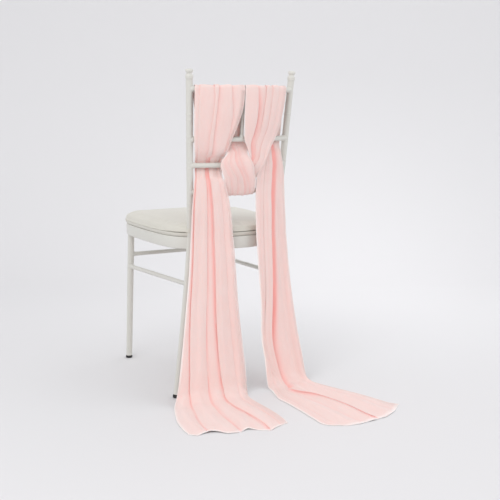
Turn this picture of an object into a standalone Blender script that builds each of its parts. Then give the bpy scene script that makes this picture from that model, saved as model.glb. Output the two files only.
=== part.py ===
"""Banquet chair dressed with one long chair sash.

The sash is a single strip of thin cloth. It climbs from the floor behind the chair, weaves
through the rails of the back in the shape of a V, and comes down to the floor again.
Metres, +Z up. The sitter faces +Y, so the back of the chair and the sash face -Y.
"""
import math

import bmesh
import bpy
import numpy as np
from mathutils import Vector

# Heights
TOTAL_HEIGHT = 0.920
SEAT_HEIGHT = 0.451
RAIL_HEIGHTS = {"rail_top": 0.8658, "rail_two": 0.728, "rail_three": 0.656, "rail_four": 0.581}

# Back posts: half the distance between their centre lines, and how far they lean back
POST_HALF_SEAT = 0.140
POST_HALF_TOP = 0.162
POST_HALF_FOOT = 0.2104
POST_LEAN_TOP = 0.0535
POST_LEAN_FOOT = 0.0494
POST_CURVE = 1.2
POST_RADIUS = 0.0095
RING_HEIGHTS = (0.540, 0.656, 0.728, 0.790)
RING_PROUD = 0.0007
RING_HALF_LENGTH = 0.008
RING_SLOPE = 0.002
POST_SIDES = 12
FINIAL = (
    # below the top, radius
    (0.0270, POST_RADIUS),
    (0.0255, 0.0106),
    (0.0190, 0.0108),
    (0.0165, 0.0098),
    (0.0125, 0.0078),
    (0.0100, 0.0086),
    (0.0070, 0.0106),
    (0.0030, 0.0106),
    (0.0008, 0.0088),
    (0.0000, 0.0060),
)

# Rails between the posts
RAIL_RADIUS = 0.0073
RAIL_BOW = 0.040
SPINDLE_X = -0.012
SPINDLE_RADIUS = 0.005
ROD_SIDES = 10
RAIL_STEPS = 10

# Front legs and stretchers
LEG_HALF_TOP = 0.169
LEG_Y_TOP = 0.3987
LEG_HALF_FOOT = 0.183
LEG_Y_FOOT = 0.4045
LEG_RADIUS_TOP = 0.0105
LEG_RADIUS_FOOT = 0.0095
SIDE_STRETCHER_FRONT_Z = 0.306
SIDE_STRETCHER_BACK_Z = 0.317
SIDE_STRETCHER_RADIUS = 0.00635
FRONT_STRETCHER_Z = 0.346
FRONT_STRETCHER_RADIUS = 0.0065
FOOT_RADIUS = 0.0105
FOOT_HEIGHT = 0.008
FOOT_SIDES = 16

# Seat, from the frame up
FRAME_BOTTOM = 0.416
BOARD_TOP = 0.463
PAD_TOP = 0.4895
PAD_OVERHANG = 0.0055
SEAT_CENTRE_Y = 0.190
FRAME_EDGE = 0.004
BOARD_INSET = 0.003
PAD_SIDE = (
    # above the board, inset from the seat's plan
    (0.0000, 0.0020),
    (0.0040, -0.0020),
    (0.0100, -PAD_OVERHANG),
    (0.0170, -0.0030),
    (0.0215, 0.0070),
)
PAD_CROWN = (
    # below the top, share of the plan
    (0.0025, 0.84),
    (0.0008, 0.55),
    (0.0002, 0.25),
)

# Between neighbouring pieces, and how much more a coped end keeps off its upright
GAP = 0.0003
COPE_GAP = GAP * 1.6

# Sash
CLOTH_THICKNESS = 0.0012
CLOTH_ACROSS = 22
WRAP_RADIUS = 0.0128
RAIL_CLEARANCE = 0.0038
RAIL_REACH = 0.024
FINE_STEP = 0.022
COARSE_STEP = 0.045
FLOOR_LIFT = CLOTH_THICKNESS / 2
ON_FLOOR = 0.012
BOW_FADE_FROM = 0.06
BOW_FADE_OVER = 0.39
WRAP_STEPS = 6

# Half of the seat's plan, right side, from the front centre to the back centre
SEAT_PLAN = (
    # x, y
    (0.000, 0.4200),
    (0.090, 0.4185),
    (0.150, 0.4150),
    (0.182, 0.4000),
    (0.196, 0.3500),
    (0.199, 0.2700),
    (0.197, 0.1700),
    (0.189, 0.0800),
    (0.172, 0.0260),
    (0.140, -0.0080),
    (0.095, -0.0330),
    (0.045, -0.0480),
    (0.000, -0.0530),
)

# The sash, a row for each section from the left hem to the right hem.
# z: height. out_left, out_right: how far the two edges stand out behind the line of the rails,
# less than nothing on the seat side. left, right: where the edges are across the chair.
LEFT_TAIL = (
    # z, out_left, out_right, left, right
    (0.0006, 0.335, 0.378, -0.3010, -0.0370),
    (0.0006, 0.300, 0.330, -0.3006, -0.0300),
    (0.0006, 0.245, 0.268, -0.2925, -0.0275),
    (0.0006, 0.195, 0.206, -0.2770, -0.0300),
    (0.0040, 0.155, 0.154, -0.2625, -0.0290),
    (0.0300, 0.130, 0.127, -0.2500, -0.0230),
    (0.0800, 0.115, 0.112, -0.2295, -0.0216),
    (0.1500, 0.096, 0.095, -0.2113, -0.0250),
    (0.2500, 0.074, 0.074, -0.1900, -0.0325),
    (0.3500, 0.055, 0.055, -0.1706, -0.0376),
    (0.4500, 0.040, 0.039, -0.1574, -0.0413),
    (0.5300, 0.030, 0.030, -0.1515, -0.0480),
    (0.5800, 0.022, 0.026, -0.1455, -0.0575),
    (0.6080, 0.013, 0.0225, -0.1415, -0.0640),
    (0.6220, 0.0075, 0.0150, -0.1385, -0.0685),
    (0.6400, -0.006, -0.004, -0.1345, -0.0640),
    (0.6560, -0.0130, -0.0130, -0.1330, -0.0595),
)
LEFT_HALF = (
    (0.6750, -0.0060, -0.0060, -0.1360, -0.0590),
    (0.6950, 0.0080, 0.0080, -0.1420, -0.0558),
    (0.7280, 0.0150, 0.0150, -0.1475, -0.0470),
    (0.7600, 0.0160, 0.0160, -0.1490, -0.0352),
    (0.8000, 0.0150, 0.0150, -0.1500, -0.0218),
    (0.8400, 0.0140, 0.0140, -0.1505, -0.0150),
)
LEFT_DOWN_SEAT_SIDE = (
    (0.8400, -0.0140, -0.0140, -0.1440, -0.0100),
    (0.7900, -0.0145, -0.0145, -0.1300, -0.0040),
    (0.7500, -0.0135, -0.0135, -0.0800, -0.0020),
    (0.7280, -0.0130, -0.0130, -0.0460, -0.0040),
)
MIDDLE_LIMB = (
    (0.7090, -0.0055, -0.0055, -0.0580, 0.0130),
    (0.6900, 0.0070, 0.0070, -0.0552, 0.0050),
    (0.6720, 0.0180, 0.0190, -0.0690, 0.0122),
    (0.6560, 0.0220, 0.0245, -0.0735, 0.0185),
    (0.6360, 0.0220, 0.0250, -0.0700, 0.0215),
    (0.6220, 0.0200, 0.0240, -0.0665, 0.0245),
    (0.6080, 0.0170, 0.0215, -0.0645, 0.0275),
    (0.5950, 0.0150, 0.0185, -0.0610, 0.0310),
)
RIGHT_LIMB = (
    (0.5970, -0.0105, -0.0100, -0.0430, 0.0300),
    (0.6130, -0.0030, 0.0020, -0.0370, 0.0350),
    (0.6320, 0.0060, 0.0130, -0.0230, 0.0430),
    (0.6560, 0.0125, 0.0225, -0.0040, 0.0570),
    (0.6720, 0.0128, 0.0235, 0.0120, 0.0625),
    (0.6900, 0.0130, 0.0215, 0.0078, 0.0712),
    (0.7080, 0.0132, 0.0190, -0.0005, 0.0812),
    (0.7280, 0.0140, 0.0165, -0.0095, 0.0952),
    (0.7600, 0.0155, 0.0155, -0.0120, 0.1108),
    (0.8000, 0.0150, 0.0150, -0.0132, 0.1212),
    (0.8400, 0.0140, 0.0140, -0.0125, 0.1285),
)
RIGHT_DOWN_SEAT_SIDE = (
    (0.8400, -0.0140, -0.0140, 0.0060, 0.1410),
    (0.7900, -0.0145, -0.0145, 0.0200, 0.1415),
    (0.7500, -0.0135, -0.0135, 0.0330, 0.1395),
    (0.7280, -0.0130, -0.0130, 0.0400, 0.1370),
)
RIGHT_TAIL = (
    (0.7080, -0.0060, -0.0020, 0.0430, 0.1300),
    (0.6880, 0.0020, 0.0100, 0.0450, 0.1290),
    (0.6560, 0.0112, 0.0145, 0.0450, 0.1385),
    (0.6250, 0.0120, 0.0160, 0.0430, 0.1460),
    (0.5810, 0.0165, 0.0190, 0.0355, 0.1500),
    (0.5300, 0.0250, 0.0260, 0.0335, 0.1516),
    (0.4500, 0.0370, 0.0370, 0.0340, 0.1550),
    (0.3500, 0.0490, 0.0490, 0.0382, 0.1586),
    (0.2500, 0.0620, 0.0620, 0.0473, 0.1655),
    (0.1500, 0.0780, 0.0780, 0.0472, 0.1747),
    (0.0800, 0.0920, 0.0900, 0.0545, 0.1815),
    (0.0300, 0.1080, 0.1020, 0.0565, 0.1895),
    (0.0040, 0.1380, 0.1230, 0.0540, 0.2050),
    (0.0006, 0.1950, 0.1680, 0.0385, 0.2240),
    (0.0006, 0.2550, 0.2250, 0.0400, 0.2460),
    (0.0006, 0.3250, 0.2850, 0.0395, 0.2680),
    (0.0006, 0.3900, 0.3400, 0.0370, 0.2830),
    (0.0006, 0.4270, 0.3740, 0.0362, 0.2930),
    (0.0006, 0.4500, 0.3980, 0.0500, 0.3100),
)

# How far the two hems lie beyond a straight line between their corners
HEMS = {
    "left": (
        # place across, beyond
        (0.00, 0.000),
        (0.06, 0.013),
        (0.15, -0.006),
        (0.22, -0.014),
        (0.28, 0.000),
        (0.34, 0.024),
        (0.46, 0.026),
        (0.57, 0.010),
        (0.67, 0.031),
        (0.75, 0.039),
        (0.87, 0.017),
        (1.00, 0.000),
    ),
    "right": (
        (0.00, 0.000),
        (0.15, 0.028),
        (0.29, 0.040),
        (0.48, 0.045),
        (0.65, 0.047),
        (0.81, 0.033),
        (1.00, 0.000),
    ),
}
HEM_REACH = 3

# The main folds, a row for each. start, middle, end: place across the cloth, 0 at its left
# edge and 1 at its right edge, along the stretch. depth: of the valley, or of a ridge where it
# is less than nothing. reach: half its width as a share of the cloth's width.
FOLDS = {
    "left_tail": (
        # start, middle, end, depth, reach
        (0.17, 0.09, 0.05, 0.009, 0.06),
        (0.42, 0.40, 0.37, 0.013, 0.055),
        (0.60, 0.47, 0.44, 0.010, 0.045),
        (0.80, 0.78, 0.74, 0.006, 0.10),
        (0.29, 0.25, 0.22, 0.004, 0.06),
    ),
    "left_half": (
        (0.30, 0.34, 0.37, 0.0045, 0.05),
        (0.60, 0.46, 0.43, 0.0050, 0.05),
        (0.88, 0.76, 0.71, 0.0040, 0.06),
    ),
    "middle_limb": (
        (0.60, 0.62, 0.66, 0.0060, 0.06),
        (0.36, 0.38, 0.42, 0.0040, 0.07),
        (0.84, 0.85, 0.86, 0.0030, 0.05),
    ),
    "right_limb": (
        (0.24, 0.26, 0.24, 0.0060, 0.07),
        (0.62, 0.56, 0.48, 0.0040, 0.06),
        (0.80, 0.80, 0.76, 0.0035, 0.06),
    ),
    "right_tail": (
        (0.56, 0.50, 0.20, 0.013, 0.085),
        (0.14, 0.12, 0.08, 0.004, 0.05),
        (0.80, 0.80, 0.78, 0.005, 0.07),
        (0.34, 0.30, 0.42, 0.004, 0.07),
    ),
    "left_floor": (
        (0.20, 0.19, 0.17, -0.010, 0.045),
        (0.33, 0.38, 0.42, -0.014, 0.045),
        (0.66, 0.64, 0.60, -0.012, 0.05),
        (0.86, 0.84, 0.80, -0.006, 0.06),
    ),
    "right_floor": (
        (0.24, 0.26, 0.32, -0.013, 0.045),
        (0.50, 0.52, 0.55, -0.008, 0.06),
        (0.80, 0.80, 0.82, -0.009, 0.05),
    ),
}


def clear_scene():
    for thing in list(bpy.data.objects):
        bpy.data.objects.remove(thing, do_unlink=True)


def make_material(name, colour, roughness, metallic=0.0):
    material = bpy.data.materials.new(name)
    material.use_nodes = True
    shader = material.node_tree.nodes["Principled BSDF"]
    shader.inputs["Base Color"].default_value = (*colour, 1.0)
    shader.inputs["Roughness"].default_value = roughness
    shader.inputs["Metallic"].default_value = metallic
    return material


def add_object(name, bm, material, parent, smooth_angle=35.0):
    bmesh.ops.recalc_face_normals(bm, faces=bm.faces)
    mesh = bpy.data.meshes.new(name)
    bm.to_mesh(mesh)
    bm.free()
    mesh.shade_smooth()
    mesh.set_sharp_from_angle(angle=math.radians(smooth_angle))
    mesh.materials.append(material)
    thing = bpy.data.objects.new(name, mesh)
    bpy.context.collection.objects.link(thing)
    thing.parent = parent
    return thing


def ease(value):
    value = min(1.0, max(0.0, value))
    return value * value * (3.0 - 2.0 * value)


def lean(z):
    return max(0.0, (z - SEAT_HEIGHT) / (TOTAL_HEIGHT - SEAT_HEIGHT))


def post_half(z):
    return POST_HALF_SEAT + (POST_HALF_TOP - POST_HALF_SEAT) * lean(z)


def behind_back(x, out, z):
    """Turn (across, out behind the rails, height) into a point of the chair.

    The rails bow out behind the posts, and what hangs on them follows that bow until it
    fades towards the floor.
    """
    bow = max(0.0, 1.0 - (x / post_half(z)) ** 2)
    fade = ease((z - BOW_FADE_FROM) / BOW_FADE_OVER)
    return Vector((x, -POST_LEAN_TOP * lean(z) - RAIL_BOW * bow * fade - out, z))


def post_point(z, side):
    if z >= SEAT_HEIGHT:
        return Vector((side * post_half(z), -POST_LEAN_TOP * lean(z), z))
    drop = ((SEAT_HEIGHT - z) / SEAT_HEIGHT) ** POST_CURVE
    half = POST_HALF_SEAT + (POST_HALF_FOOT - POST_HALF_SEAT) * drop
    return Vector((side * half, -POST_LEAN_FOOT * drop, z))


def leg_point(z, side):
    share = z / FRAME_BOTTOM
    half = LEG_HALF_FOOT + (LEG_HALF_TOP - LEG_HALF_FOOT) * share
    return Vector((side * half, LEG_Y_FOOT + (LEG_Y_TOP - LEG_Y_FOOT) * share, z))


def tube(points, radii, sides, flat_ends=True):
    """Loft rings along a route. With flat_ends the first and last rings lie level."""
    bm = bmesh.new()
    rings = []
    last = len(points) - 1
    for i, point in enumerate(points):
        along = (points[min(i + 1, last)] - points[max(i - 1, 0)]).normalized()
        if flat_ends and i in (0, last):
            along = Vector((0, 0, 1))
        side = along.cross(Vector((0, 1, 0))) if abs(along.y) < 0.9 else along.cross(Vector((1, 0, 0)))
        side.normalize()
        up = along.cross(side)
        turns = [2 * math.pi * k / sides for k in range(sides)]
        ring = [bm.verts.new(point + (side * math.cos(a) + up * math.sin(a)) * radii[i]) for a in turns]
        rings.append(ring)
    for low, high in zip(rings, rings[1:]):
        bmesh.ops.bridge_loops(bm, edges=ring_edges(bm, low) + ring_edges(bm, high))
    bm.faces.new(rings[0])
    bm.faces.new(rings[-1])
    return bm


def ring_edges(bm, ring):
    edges = []
    for a, b in zip(ring, ring[1:] + ring[:1]):
        edges.append(bm.edges.get((a, b)) or bm.edges.new((a, b)))
    return edges


def post_profile():
    """Heights and radii of a post, with its turned rings and its finial."""
    rows = [(FOOT_HEIGHT + GAP, POST_RADIUS)]
    for step in range(1, 9):
        rows.append((FOOT_HEIGHT + (SEAT_HEIGHT - FOOT_HEIGHT) * step / 8, POST_RADIUS))
    out, half = RING_HALF_LENGTH + RING_SLOPE, RING_HALF_LENGTH
    for z in RING_HEIGHTS:
        for offset, proud in ((-out, 0), (-half, 1), (half, 1), (out, 0)):
            rows.append((z + offset, POST_RADIUS + proud * RING_PROUD))
    rows += [(TOTAL_HEIGHT - below, radius) for below, radius in FINIAL]
    return rows


def post_mesh(side, extra=0.0):
    rows = post_profile()
    return tube([post_point(z, side) for z, _ in rows], [r + extra for _, r in rows], POST_SIDES)


def coped_rod(centre, normals, radius, sides, end_axes):
    """A round rod whose two ends are hollowed to sit against round uprights.

    end_axes holds, for each end, the upright's centre as a function of height and its radius.
    """
    bm = bmesh.new()
    rings = []
    last = len(centre) - 1
    for i, point in enumerate(centre):
        side, up = normals[i]
        ring = []
        for k in range(sides):
            turn = 2 * math.pi * k / sides
            ring.append(point + (side * math.cos(turn) + up * math.sin(turn)) * radius)
        rings.append(ring)
    caps = []
    for i, (upright, upright_radius) in ((0, end_axes[0]), (last, end_axes[1])):
        inward = (centre[1] - centre[0]) if i == 0 else (centre[last - 1] - centre[last])
        inward.normalize()
        half_ring = [centre[i].lerp(p, 0.5) for p in rings[i]]
        rings[i] = [against(p, inward, upright, upright_radius) for p in rings[i]]
        half_ring = [against(p, inward, upright, upright_radius) for p in half_ring]
        caps.append((half_ring, against(centre[i], inward, upright, upright_radius)))
    loops = [[bm.verts.new(p) for p in ring] for ring in rings]
    for low, high in zip(loops, loops[1:]):
        for k in range(sides):
            n = (k + 1) % sides
            bm.faces.new((low[k], low[n], high[n], high[k]))
    for ring, (half_ring, middle) in ((loops[0], caps[0]), (loops[-1], caps[1])):
        inner = [bm.verts.new(p) for p in half_ring]
        hub = bm.verts.new(middle)
        for k in range(sides):
            n = (k + 1) % sides
            bm.faces.new((ring[k], ring[n], inner[n], inner[k]))
            bm.faces.new((inner[k], inner[n], hub))
    return bm


def against(point, inward, upright, upright_radius):
    """Slide a point along the rod until it stands GAP off the upright's surface."""
    axis = upright(point.z)
    flat_inward = Vector((inward.x, inward.y, 0))
    rate = flat_inward.length
    flat_inward.normalize()
    offset = Vector((point.x - axis.x, point.y - axis.y, 0))
    along = offset.dot(flat_inward)
    aside = (offset - flat_inward * along).length
    reach = upright_radius + COPE_GAP
    wanted = math.sqrt(max(reach * reach - aside * aside, 1e-10))
    return point + inward * ((wanted - along) / rate)


def rail_mesh(z):
    half = post_half(z)
    steps = RAIL_STEPS
    centre = [behind_back(half * (2 * k / steps - 1), 0.0, z) for k in range(steps + 1)]
    normals = []
    for i in range(steps + 1):
        along = (centre[min(i + 1, steps)] - centre[max(i - 1, 0)]).normalized()
        side = along.cross(Vector((0, 0, 1))).normalized()
        normals.append((side, side.cross(along)))
    ends = [(lambda height, s=s: post_point(height, s), POST_RADIUS + RING_PROUD) for s in (-1, 1)]
    return coped_rod(centre, normals, RAIL_RADIUS, ROD_SIDES, ends)


def stretcher_mesh(start, end, radius, uprights):
    along = (end - start).normalized()
    side = along.cross(Vector((0, 0, 1))).normalized()
    up = side.cross(along)
    centre = [start.lerp(end, k / 2) for k in range(3)]
    return coped_rod(centre, [(side, up)] * 3, radius, ROD_SIDES, uprights)


def seat_outline(inset):
    """The seat's plan as a closed loop of points, moved in by inset."""
    half = [Vector((x, y)) for x, y in SEAT_PLAN]
    whole = half + [Vector((-p.x, p.y)) for p in reversed(half[1:-1])]
    count = len(whole)
    smooth = []
    for i in range(count):
        a, b, c, d = (whole[(i + k) % count] for k in (-1, 0, 1, 2))
        for t in (0.0, 0.5):
            smooth.append(spline(a, b, c, d, t))
    count = len(smooth)
    moved = []
    for i in range(count):
        along = (smooth[(i + 1) % count] - smooth[i - 1]).normalized()
        moved.append(smooth[i] + Vector((-along.y, along.x)) * -inset)
    return moved


def spline(a, b, c, d, t):
    """Catmull-Rom curve from b to c."""
    return 0.5 * ((2 * b) + (c - a) * t + (2 * a - 5 * b + 4 * c - d) * t * t
                  + (3 * b - a - 3 * c + d) * t ** 3)


def layered_slab(rows, crown=None):
    """Stack seat outlines. rows: (height, inset). crown: (height, share of the plan)."""
    bm = bmesh.new()
    rings = []
    for z, inset in rows:
        rings.append([bm.verts.new((p.x, p.y, z)) for p in seat_outline(inset)])
    last_z, last_inset = rows[-1]
    for z, share in crown or ():
        ring = []
        for p in seat_outline(last_inset):
            ring.append(bm.verts.new((p.x * share, SEAT_CENTRE_Y + (p.y - SEAT_CENTRE_Y) * share, z)))
        rings.append(ring)
    count = len(rings[0])
    for low, high in zip(rings, rings[1:]):
        for k in range(count):
            n = (k + 1) % count
            bm.faces.new((low[k], low[n], high[n], high[k]))
    bm.faces.new(rings[0])
    if crown:
        hub = bm.verts.new((0, SEAT_CENTRE_Y, PAD_TOP))
        for k in range(count):
            bm.faces.new((rings[-1][k], rings[-1][(k + 1) % count], hub))
    else:
        bm.faces.new(rings[-1])
    return bm


def cut_for_posts(thing, cutters):
    for cutter in cutters:
        cut = thing.modifiers.new("post_notch", "BOOLEAN")
        cut.operation = "DIFFERENCE"
        cut.solver = "EXACT"
        cut.object = cutter


def wrap(rail_z, start, end, count, edges_start, edges_end):
    """Sections round a rail. Angles in degrees: 0 points out behind, 90 up, 180 to the seat."""
    rows = []
    for k in range(count + 1):
        share = k / count
        turn = math.radians(start + (end - start) * share)
        out = WRAP_RADIUS * math.cos(turn)
        left = edges_start[0] + (edges_end[0] - edges_start[0]) * share
        right = edges_start[1] + (edges_end[1] - edges_start[1]) * share
        rows.append((rail_z + WRAP_RADIUS * math.sin(turn), out, out, left, right))
    return rows


def sash_rows():
    """All the sections of the sash in order, each with the stretch it belongs to."""
    top = RAIL_HEIGHTS["rail_top"]
    four = RAIL_HEIGHTS["rail_four"]
    stretches = (
        ("left_tail", LEFT_TAIL),
        ("left_half", LEFT_HALF),
        ("plain", wrap(top, 0, 180, WRAP_STEPS, (-0.1505, -0.0140), (-0.1450, -0.0120))),
        ("plain", LEFT_DOWN_SEAT_SIDE),
        ("middle_limb", MIDDLE_LIMB),
        ("plain", wrap(four, -10, -180, WRAP_STEPS, (-0.0560, 0.0330), (-0.0470, 0.0300))),
        ("right_limb", RIGHT_LIMB),
        ("plain", wrap(top, 0, 180, WRAP_STEPS, (-0.0124, 0.1330), (-0.0060, 0.1390))),
        ("plain", RIGHT_DOWN_SEAT_SIDE),
        ("right_tail", RIGHT_TAIL),
    )
    rows = []
    for name, table in stretches:
        rows += [(name, np.array(row)) for row in table]
    return rows


def sash_stations():
    """Smooth the sections into evenly spaced stations along the cloth."""
    rows = sash_rows()
    values = [row for _, row in rows]
    last = len(values) - 1
    stations = []
    for i in range(last):
        a, b, c, d = (values[min(max(i + k, 0), last)] for k in (-1, 0, 1, 2))
        gap = math.hypot(c[0] - b[0], (c[1] + c[2] - b[1] - b[2]) / 2)
        step = FINE_STEP if min(b[0], c[0]) > 0.55 else COARSE_STEP
        parts = max(1, round(gap / step))
        for k in range(parts):
            stations.append((rows[i][0], spline(a, b, c, d, k / parts)))
    stations.append((rows[last][0], values[last]))
    return stations


def stretch_spans(stations):
    """The first and last station of each named stretch, the tails split at the floor."""
    names = []
    for name, row in stations:
        names.append(name.replace("tail", "floor") if row[0] < ON_FLOOR else name)
    spans = {}
    for i, name in enumerate(names):
        first, _ = spans.get(name, (i, i))
        spans[name] = (first, i)
    return names, spans


def fold_relief(name, share, across):
    """How far each point across the cloth sinks (or rises) at this share of its stretch."""
    relief = np.zeros_like(across)
    for start, middle, end, depth, reach in FOLDS.get(name, ()):
        if share < 0.5:
            place = start + (middle - start) * share * 2
        else:
            place = middle + (end - middle) * (share * 2 - 1)
        away = (across - place) / reach
        relief += depth * np.exp(-away * away)
    return relief


def hem_reach(i, count, across):
    """How far station i is drawn out to follow the wavy hem that it is near."""
    from_left, from_right = i, count - 1 - i
    side, steps = ("left", from_left) if from_left < from_right else ("right", from_right)
    places, beyond = zip(*HEMS[side])
    return np.interp(across, places, beyond) * max(0.0, 1.0 - steps / HEM_REACH)


def clear_of_rails(out, z):
    """Move a point of the cloth straight off any rail that it would come too close to."""
    least = RAIL_RADIUS + RAIL_CLEARANCE
    for rail_z in RAIL_HEIGHTS.values():
        away = math.hypot(out, z - rail_z)
        if away < least:
            return out * least / away, rail_z + (z - rail_z) * least / away
    return out, z


def sash_surface():
    """Points of the cloth's middle surface, an array of stations by places across."""
    stations = sash_stations()
    names, spans = stretch_spans(stations)
    across = np.linspace(0.0, 1.0, CLOTH_ACROSS + 1)
    flat = np.array([[row[0], (row[1] + row[2]) / 2] for _, row in stations])
    heading = np.gradient(flat, axis=0)
    heading /= np.linalg.norm(heading, axis=1)[:, None]
    surface = np.zeros((len(stations), len(across), 3))
    for i, (_, row) in enumerate(stations):
        z, out_left, out_right, left, right = row
        first, last = spans[names[i]]
        share = (i - first) / max(1, last - first)
        floor = names[i].endswith("floor")
        near_end = 1.0 if floor else ease(min(share, 1 - share) * 5 + 0.15)
        relief = fold_relief(names[i], share, across) * near_end
        # the folds sink towards the rails on the tails and the front, and rise from the floor
        rise_z, rise_out = heading[i][1], -heading[i][0]
        if floor:
            rise_z, rise_out = -1.0, 0.0
        elif names[i] in ("right_tail", "middle_limb"):
            rise_z, rise_out = -rise_z, -rise_out
        hem = hem_reach(i, len(stations), across)
        near_rail = any(abs(z - rail_z) < RAIL_REACH for rail_z in RAIL_HEIGHTS.values())
        for j, u in enumerate(across):
            x = left + (right - left) * u
            out = out_left + (out_right - out_left) * u + hem[j]
            if near_rail:
                relief[j] = min(relief[j], max(0.0, abs(out) - RAIL_RADIUS - RAIL_CLEARANCE))
            out += rise_out * relief[j]
            height = max(FLOOR_LIFT, z + rise_z * relief[j])
            surface[i, j] = behind_back(x, *clear_of_rails(out, height))
    return surface


def sheet_mesh(surface, thickness):
    """Give a grid of points a thickness and close its edges. No point goes below the floor."""
    along = np.gradient(surface, axis=0)
    over = np.gradient(surface, axis=1)
    normal = np.cross(along, over)
    normal /= np.linalg.norm(normal, axis=2)[:, :, None]
    sides = []
    bm = bmesh.new()
    for sign in (1, -1):
        points = surface + normal * sign * thickness / 2
        points[:, :, 2] = np.maximum(points[:, :, 2], 0.0)
        sides.append([[bm.verts.new(p) for p in row] for row in points])
    rows, columns = surface.shape[:2]
    for grid, flip in ((sides[0], False), (sides[1], True)):
        for i in range(rows - 1):
            for j in range(columns - 1):
                a, b, c, d = grid[i][j], grid[i + 1][j], grid[i + 1][j + 1], grid[i][j + 1]
                for corner in ((a, b, c), (a, c, d)):
                    bm.faces.new(corner[::-1] if flip else corner)
    rim = [(i, 0) for i in range(rows)]
    rim += [(rows - 1, j) for j in range(1, columns)]
    rim += [(i, columns - 1) for i in range(rows - 2, -1, -1)]
    rim += [(0, j) for j in range(columns - 2, 0, -1)]
    for (i, j), (m, n) in zip(rim, rim[1:] + rim[:1]):
        bm.faces.new((sides[0][i][j], sides[1][i][j], sides[1][m][n], sides[0][m][n]))
    return bm


def build_chair(paint, rubber, pad_cloth, parent):
    names = {-1: "left", 1: "right"}
    cutters = []
    for side, word in names.items():
        add_object("post_" + word, post_mesh(side), paint, parent)
        cutter = add_object("post_cutter_" + word, post_mesh(side, GAP + RING_PROUD), paint, parent)
        cutter.hide_render = True
        cutter.display_type = "WIRE"
        cutters.append(cutter)
        low, high = FOOT_HEIGHT + GAP, FRAME_BOTTOM - GAP
        leg_heights = [low + (high - low) * k / 4 for k in range(5)]
        leg_radii = []
        for z in leg_heights:
            leg_radii.append(LEG_RADIUS_FOOT + (LEG_RADIUS_TOP - LEG_RADIUS_FOOT) * z / FRAME_BOTTOM)
        leg = tube([leg_point(z, side) for z in leg_heights], leg_radii, POST_SIDES)
        add_object("leg_front_" + word, leg, paint, parent)
        for place, point in (("back", post_point(0, side)), ("front", leg_point(0, side))):
            ends = [Vector((point.x, point.y, z)) for z in (0, FOOT_HEIGHT)]
            foot = tube(ends, [FOOT_RADIUS] * 2, FOOT_SIDES)
            add_object(f"foot_{place}_{word}", foot, rubber, parent)
        front = leg_point(SIDE_STRETCHER_FRONT_Z, side)
        back = post_point(SIDE_STRETCHER_BACK_Z, side)
        uprights = [(lambda z, s=side: leg_point(z, s), LEG_RADIUS_TOP),
                    (lambda z, s=side: post_point(z, s), POST_RADIUS)]
        bar = stretcher_mesh(front, back, SIDE_STRETCHER_RADIUS, uprights)
        add_object("stretcher_" + word, bar, paint, parent)
    uprights = [(lambda z, s=s: leg_point(z, s), LEG_RADIUS_TOP) for s in (-1, 1)]
    bar = stretcher_mesh(leg_point(FRONT_STRETCHER_Z, -1), leg_point(FRONT_STRETCHER_Z, 1),
                         FRONT_STRETCHER_RADIUS, uprights)
    add_object("stretcher_front", bar, paint, parent)

    for name, z in RAIL_HEIGHTS.items():
        add_object(name, rail_mesh(z), paint, parent)
    low = behind_back(SPINDLE_X, 0, RAIL_HEIGHTS["rail_two"] + RAIL_RADIUS + GAP)
    high = behind_back(SPINDLE_X, 0, RAIL_HEIGHTS["rail_top"] - RAIL_RADIUS - GAP)
    spindle = tube([low.lerp(high, k / 2) for k in range(3)], [SPINDLE_RADIUS] * 3, ROD_SIDES)
    add_object("spindle_centre", spindle, paint, parent)

    frame = layered_slab([(FRAME_BOTTOM, FRAME_EDGE), (FRAME_BOTTOM + FRAME_EDGE, 0),
                          (SEAT_HEIGHT - FRAME_EDGE / 2, 0), (SEAT_HEIGHT, FRAME_EDGE / 2)])
    cut_for_posts(add_object("seat_frame", frame, paint, parent), cutters)
    board = layered_slab([(SEAT_HEIGHT + GAP, BOARD_INSET), (BOARD_TOP - GAP, BOARD_INSET)])
    cut_for_posts(add_object("seat_board", board, pad_cloth, parent), cutters)
    pad = layered_slab([(BOARD_TOP + above, inset) for above, inset in PAD_SIDE],
                       crown=[(PAD_TOP - below, share) for below, share in PAD_CROWN])
    cut_for_posts(add_object("seat_pad", pad, pad_cloth, parent), cutters)


def centre_on_origin(frame):
    """Stand the model on the floor with the middle of its plan at the origin."""
    bpy.context.view_layer.update()
    corners = []
    for thing in bpy.data.objects:
        if thing.type == "MESH" and not thing.hide_render:
            corners += [thing.matrix_world @ v.co for v in thing.data.vertices]
    low = [min(c[k] for c in corners) for k in range(2)]
    high = [max(c[k] for c in corners) for k in range(2)]
    frame.location = (-(low[0] + high[0]) / 2, -(low[1] + high[1]) / 2, 0)


def main():
    clear_scene()
    frame = bpy.data.objects.new("chair_with_sash", None)
    bpy.context.collection.objects.link(frame)
    paint = make_material("ivory_paint", (0.66, 0.67, 0.61), 0.35)
    rubber = make_material("black_rubber", (0.02, 0.02, 0.02), 0.8)
    pad_cloth = make_material("ivory_pad", (0.71, 0.69, 0.60), 0.6)
    chiffon = make_material("blush_chiffon", (0.90, 0.62, 0.59), 0.8)
    build_chair(paint, rubber, pad_cloth, frame)
    add_object("sash", sheet_mesh(sash_surface(), CLOTH_THICKNESS), chiffon, frame, 80.0)
    centre_on_origin(frame)


main()
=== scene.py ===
import math

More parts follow.
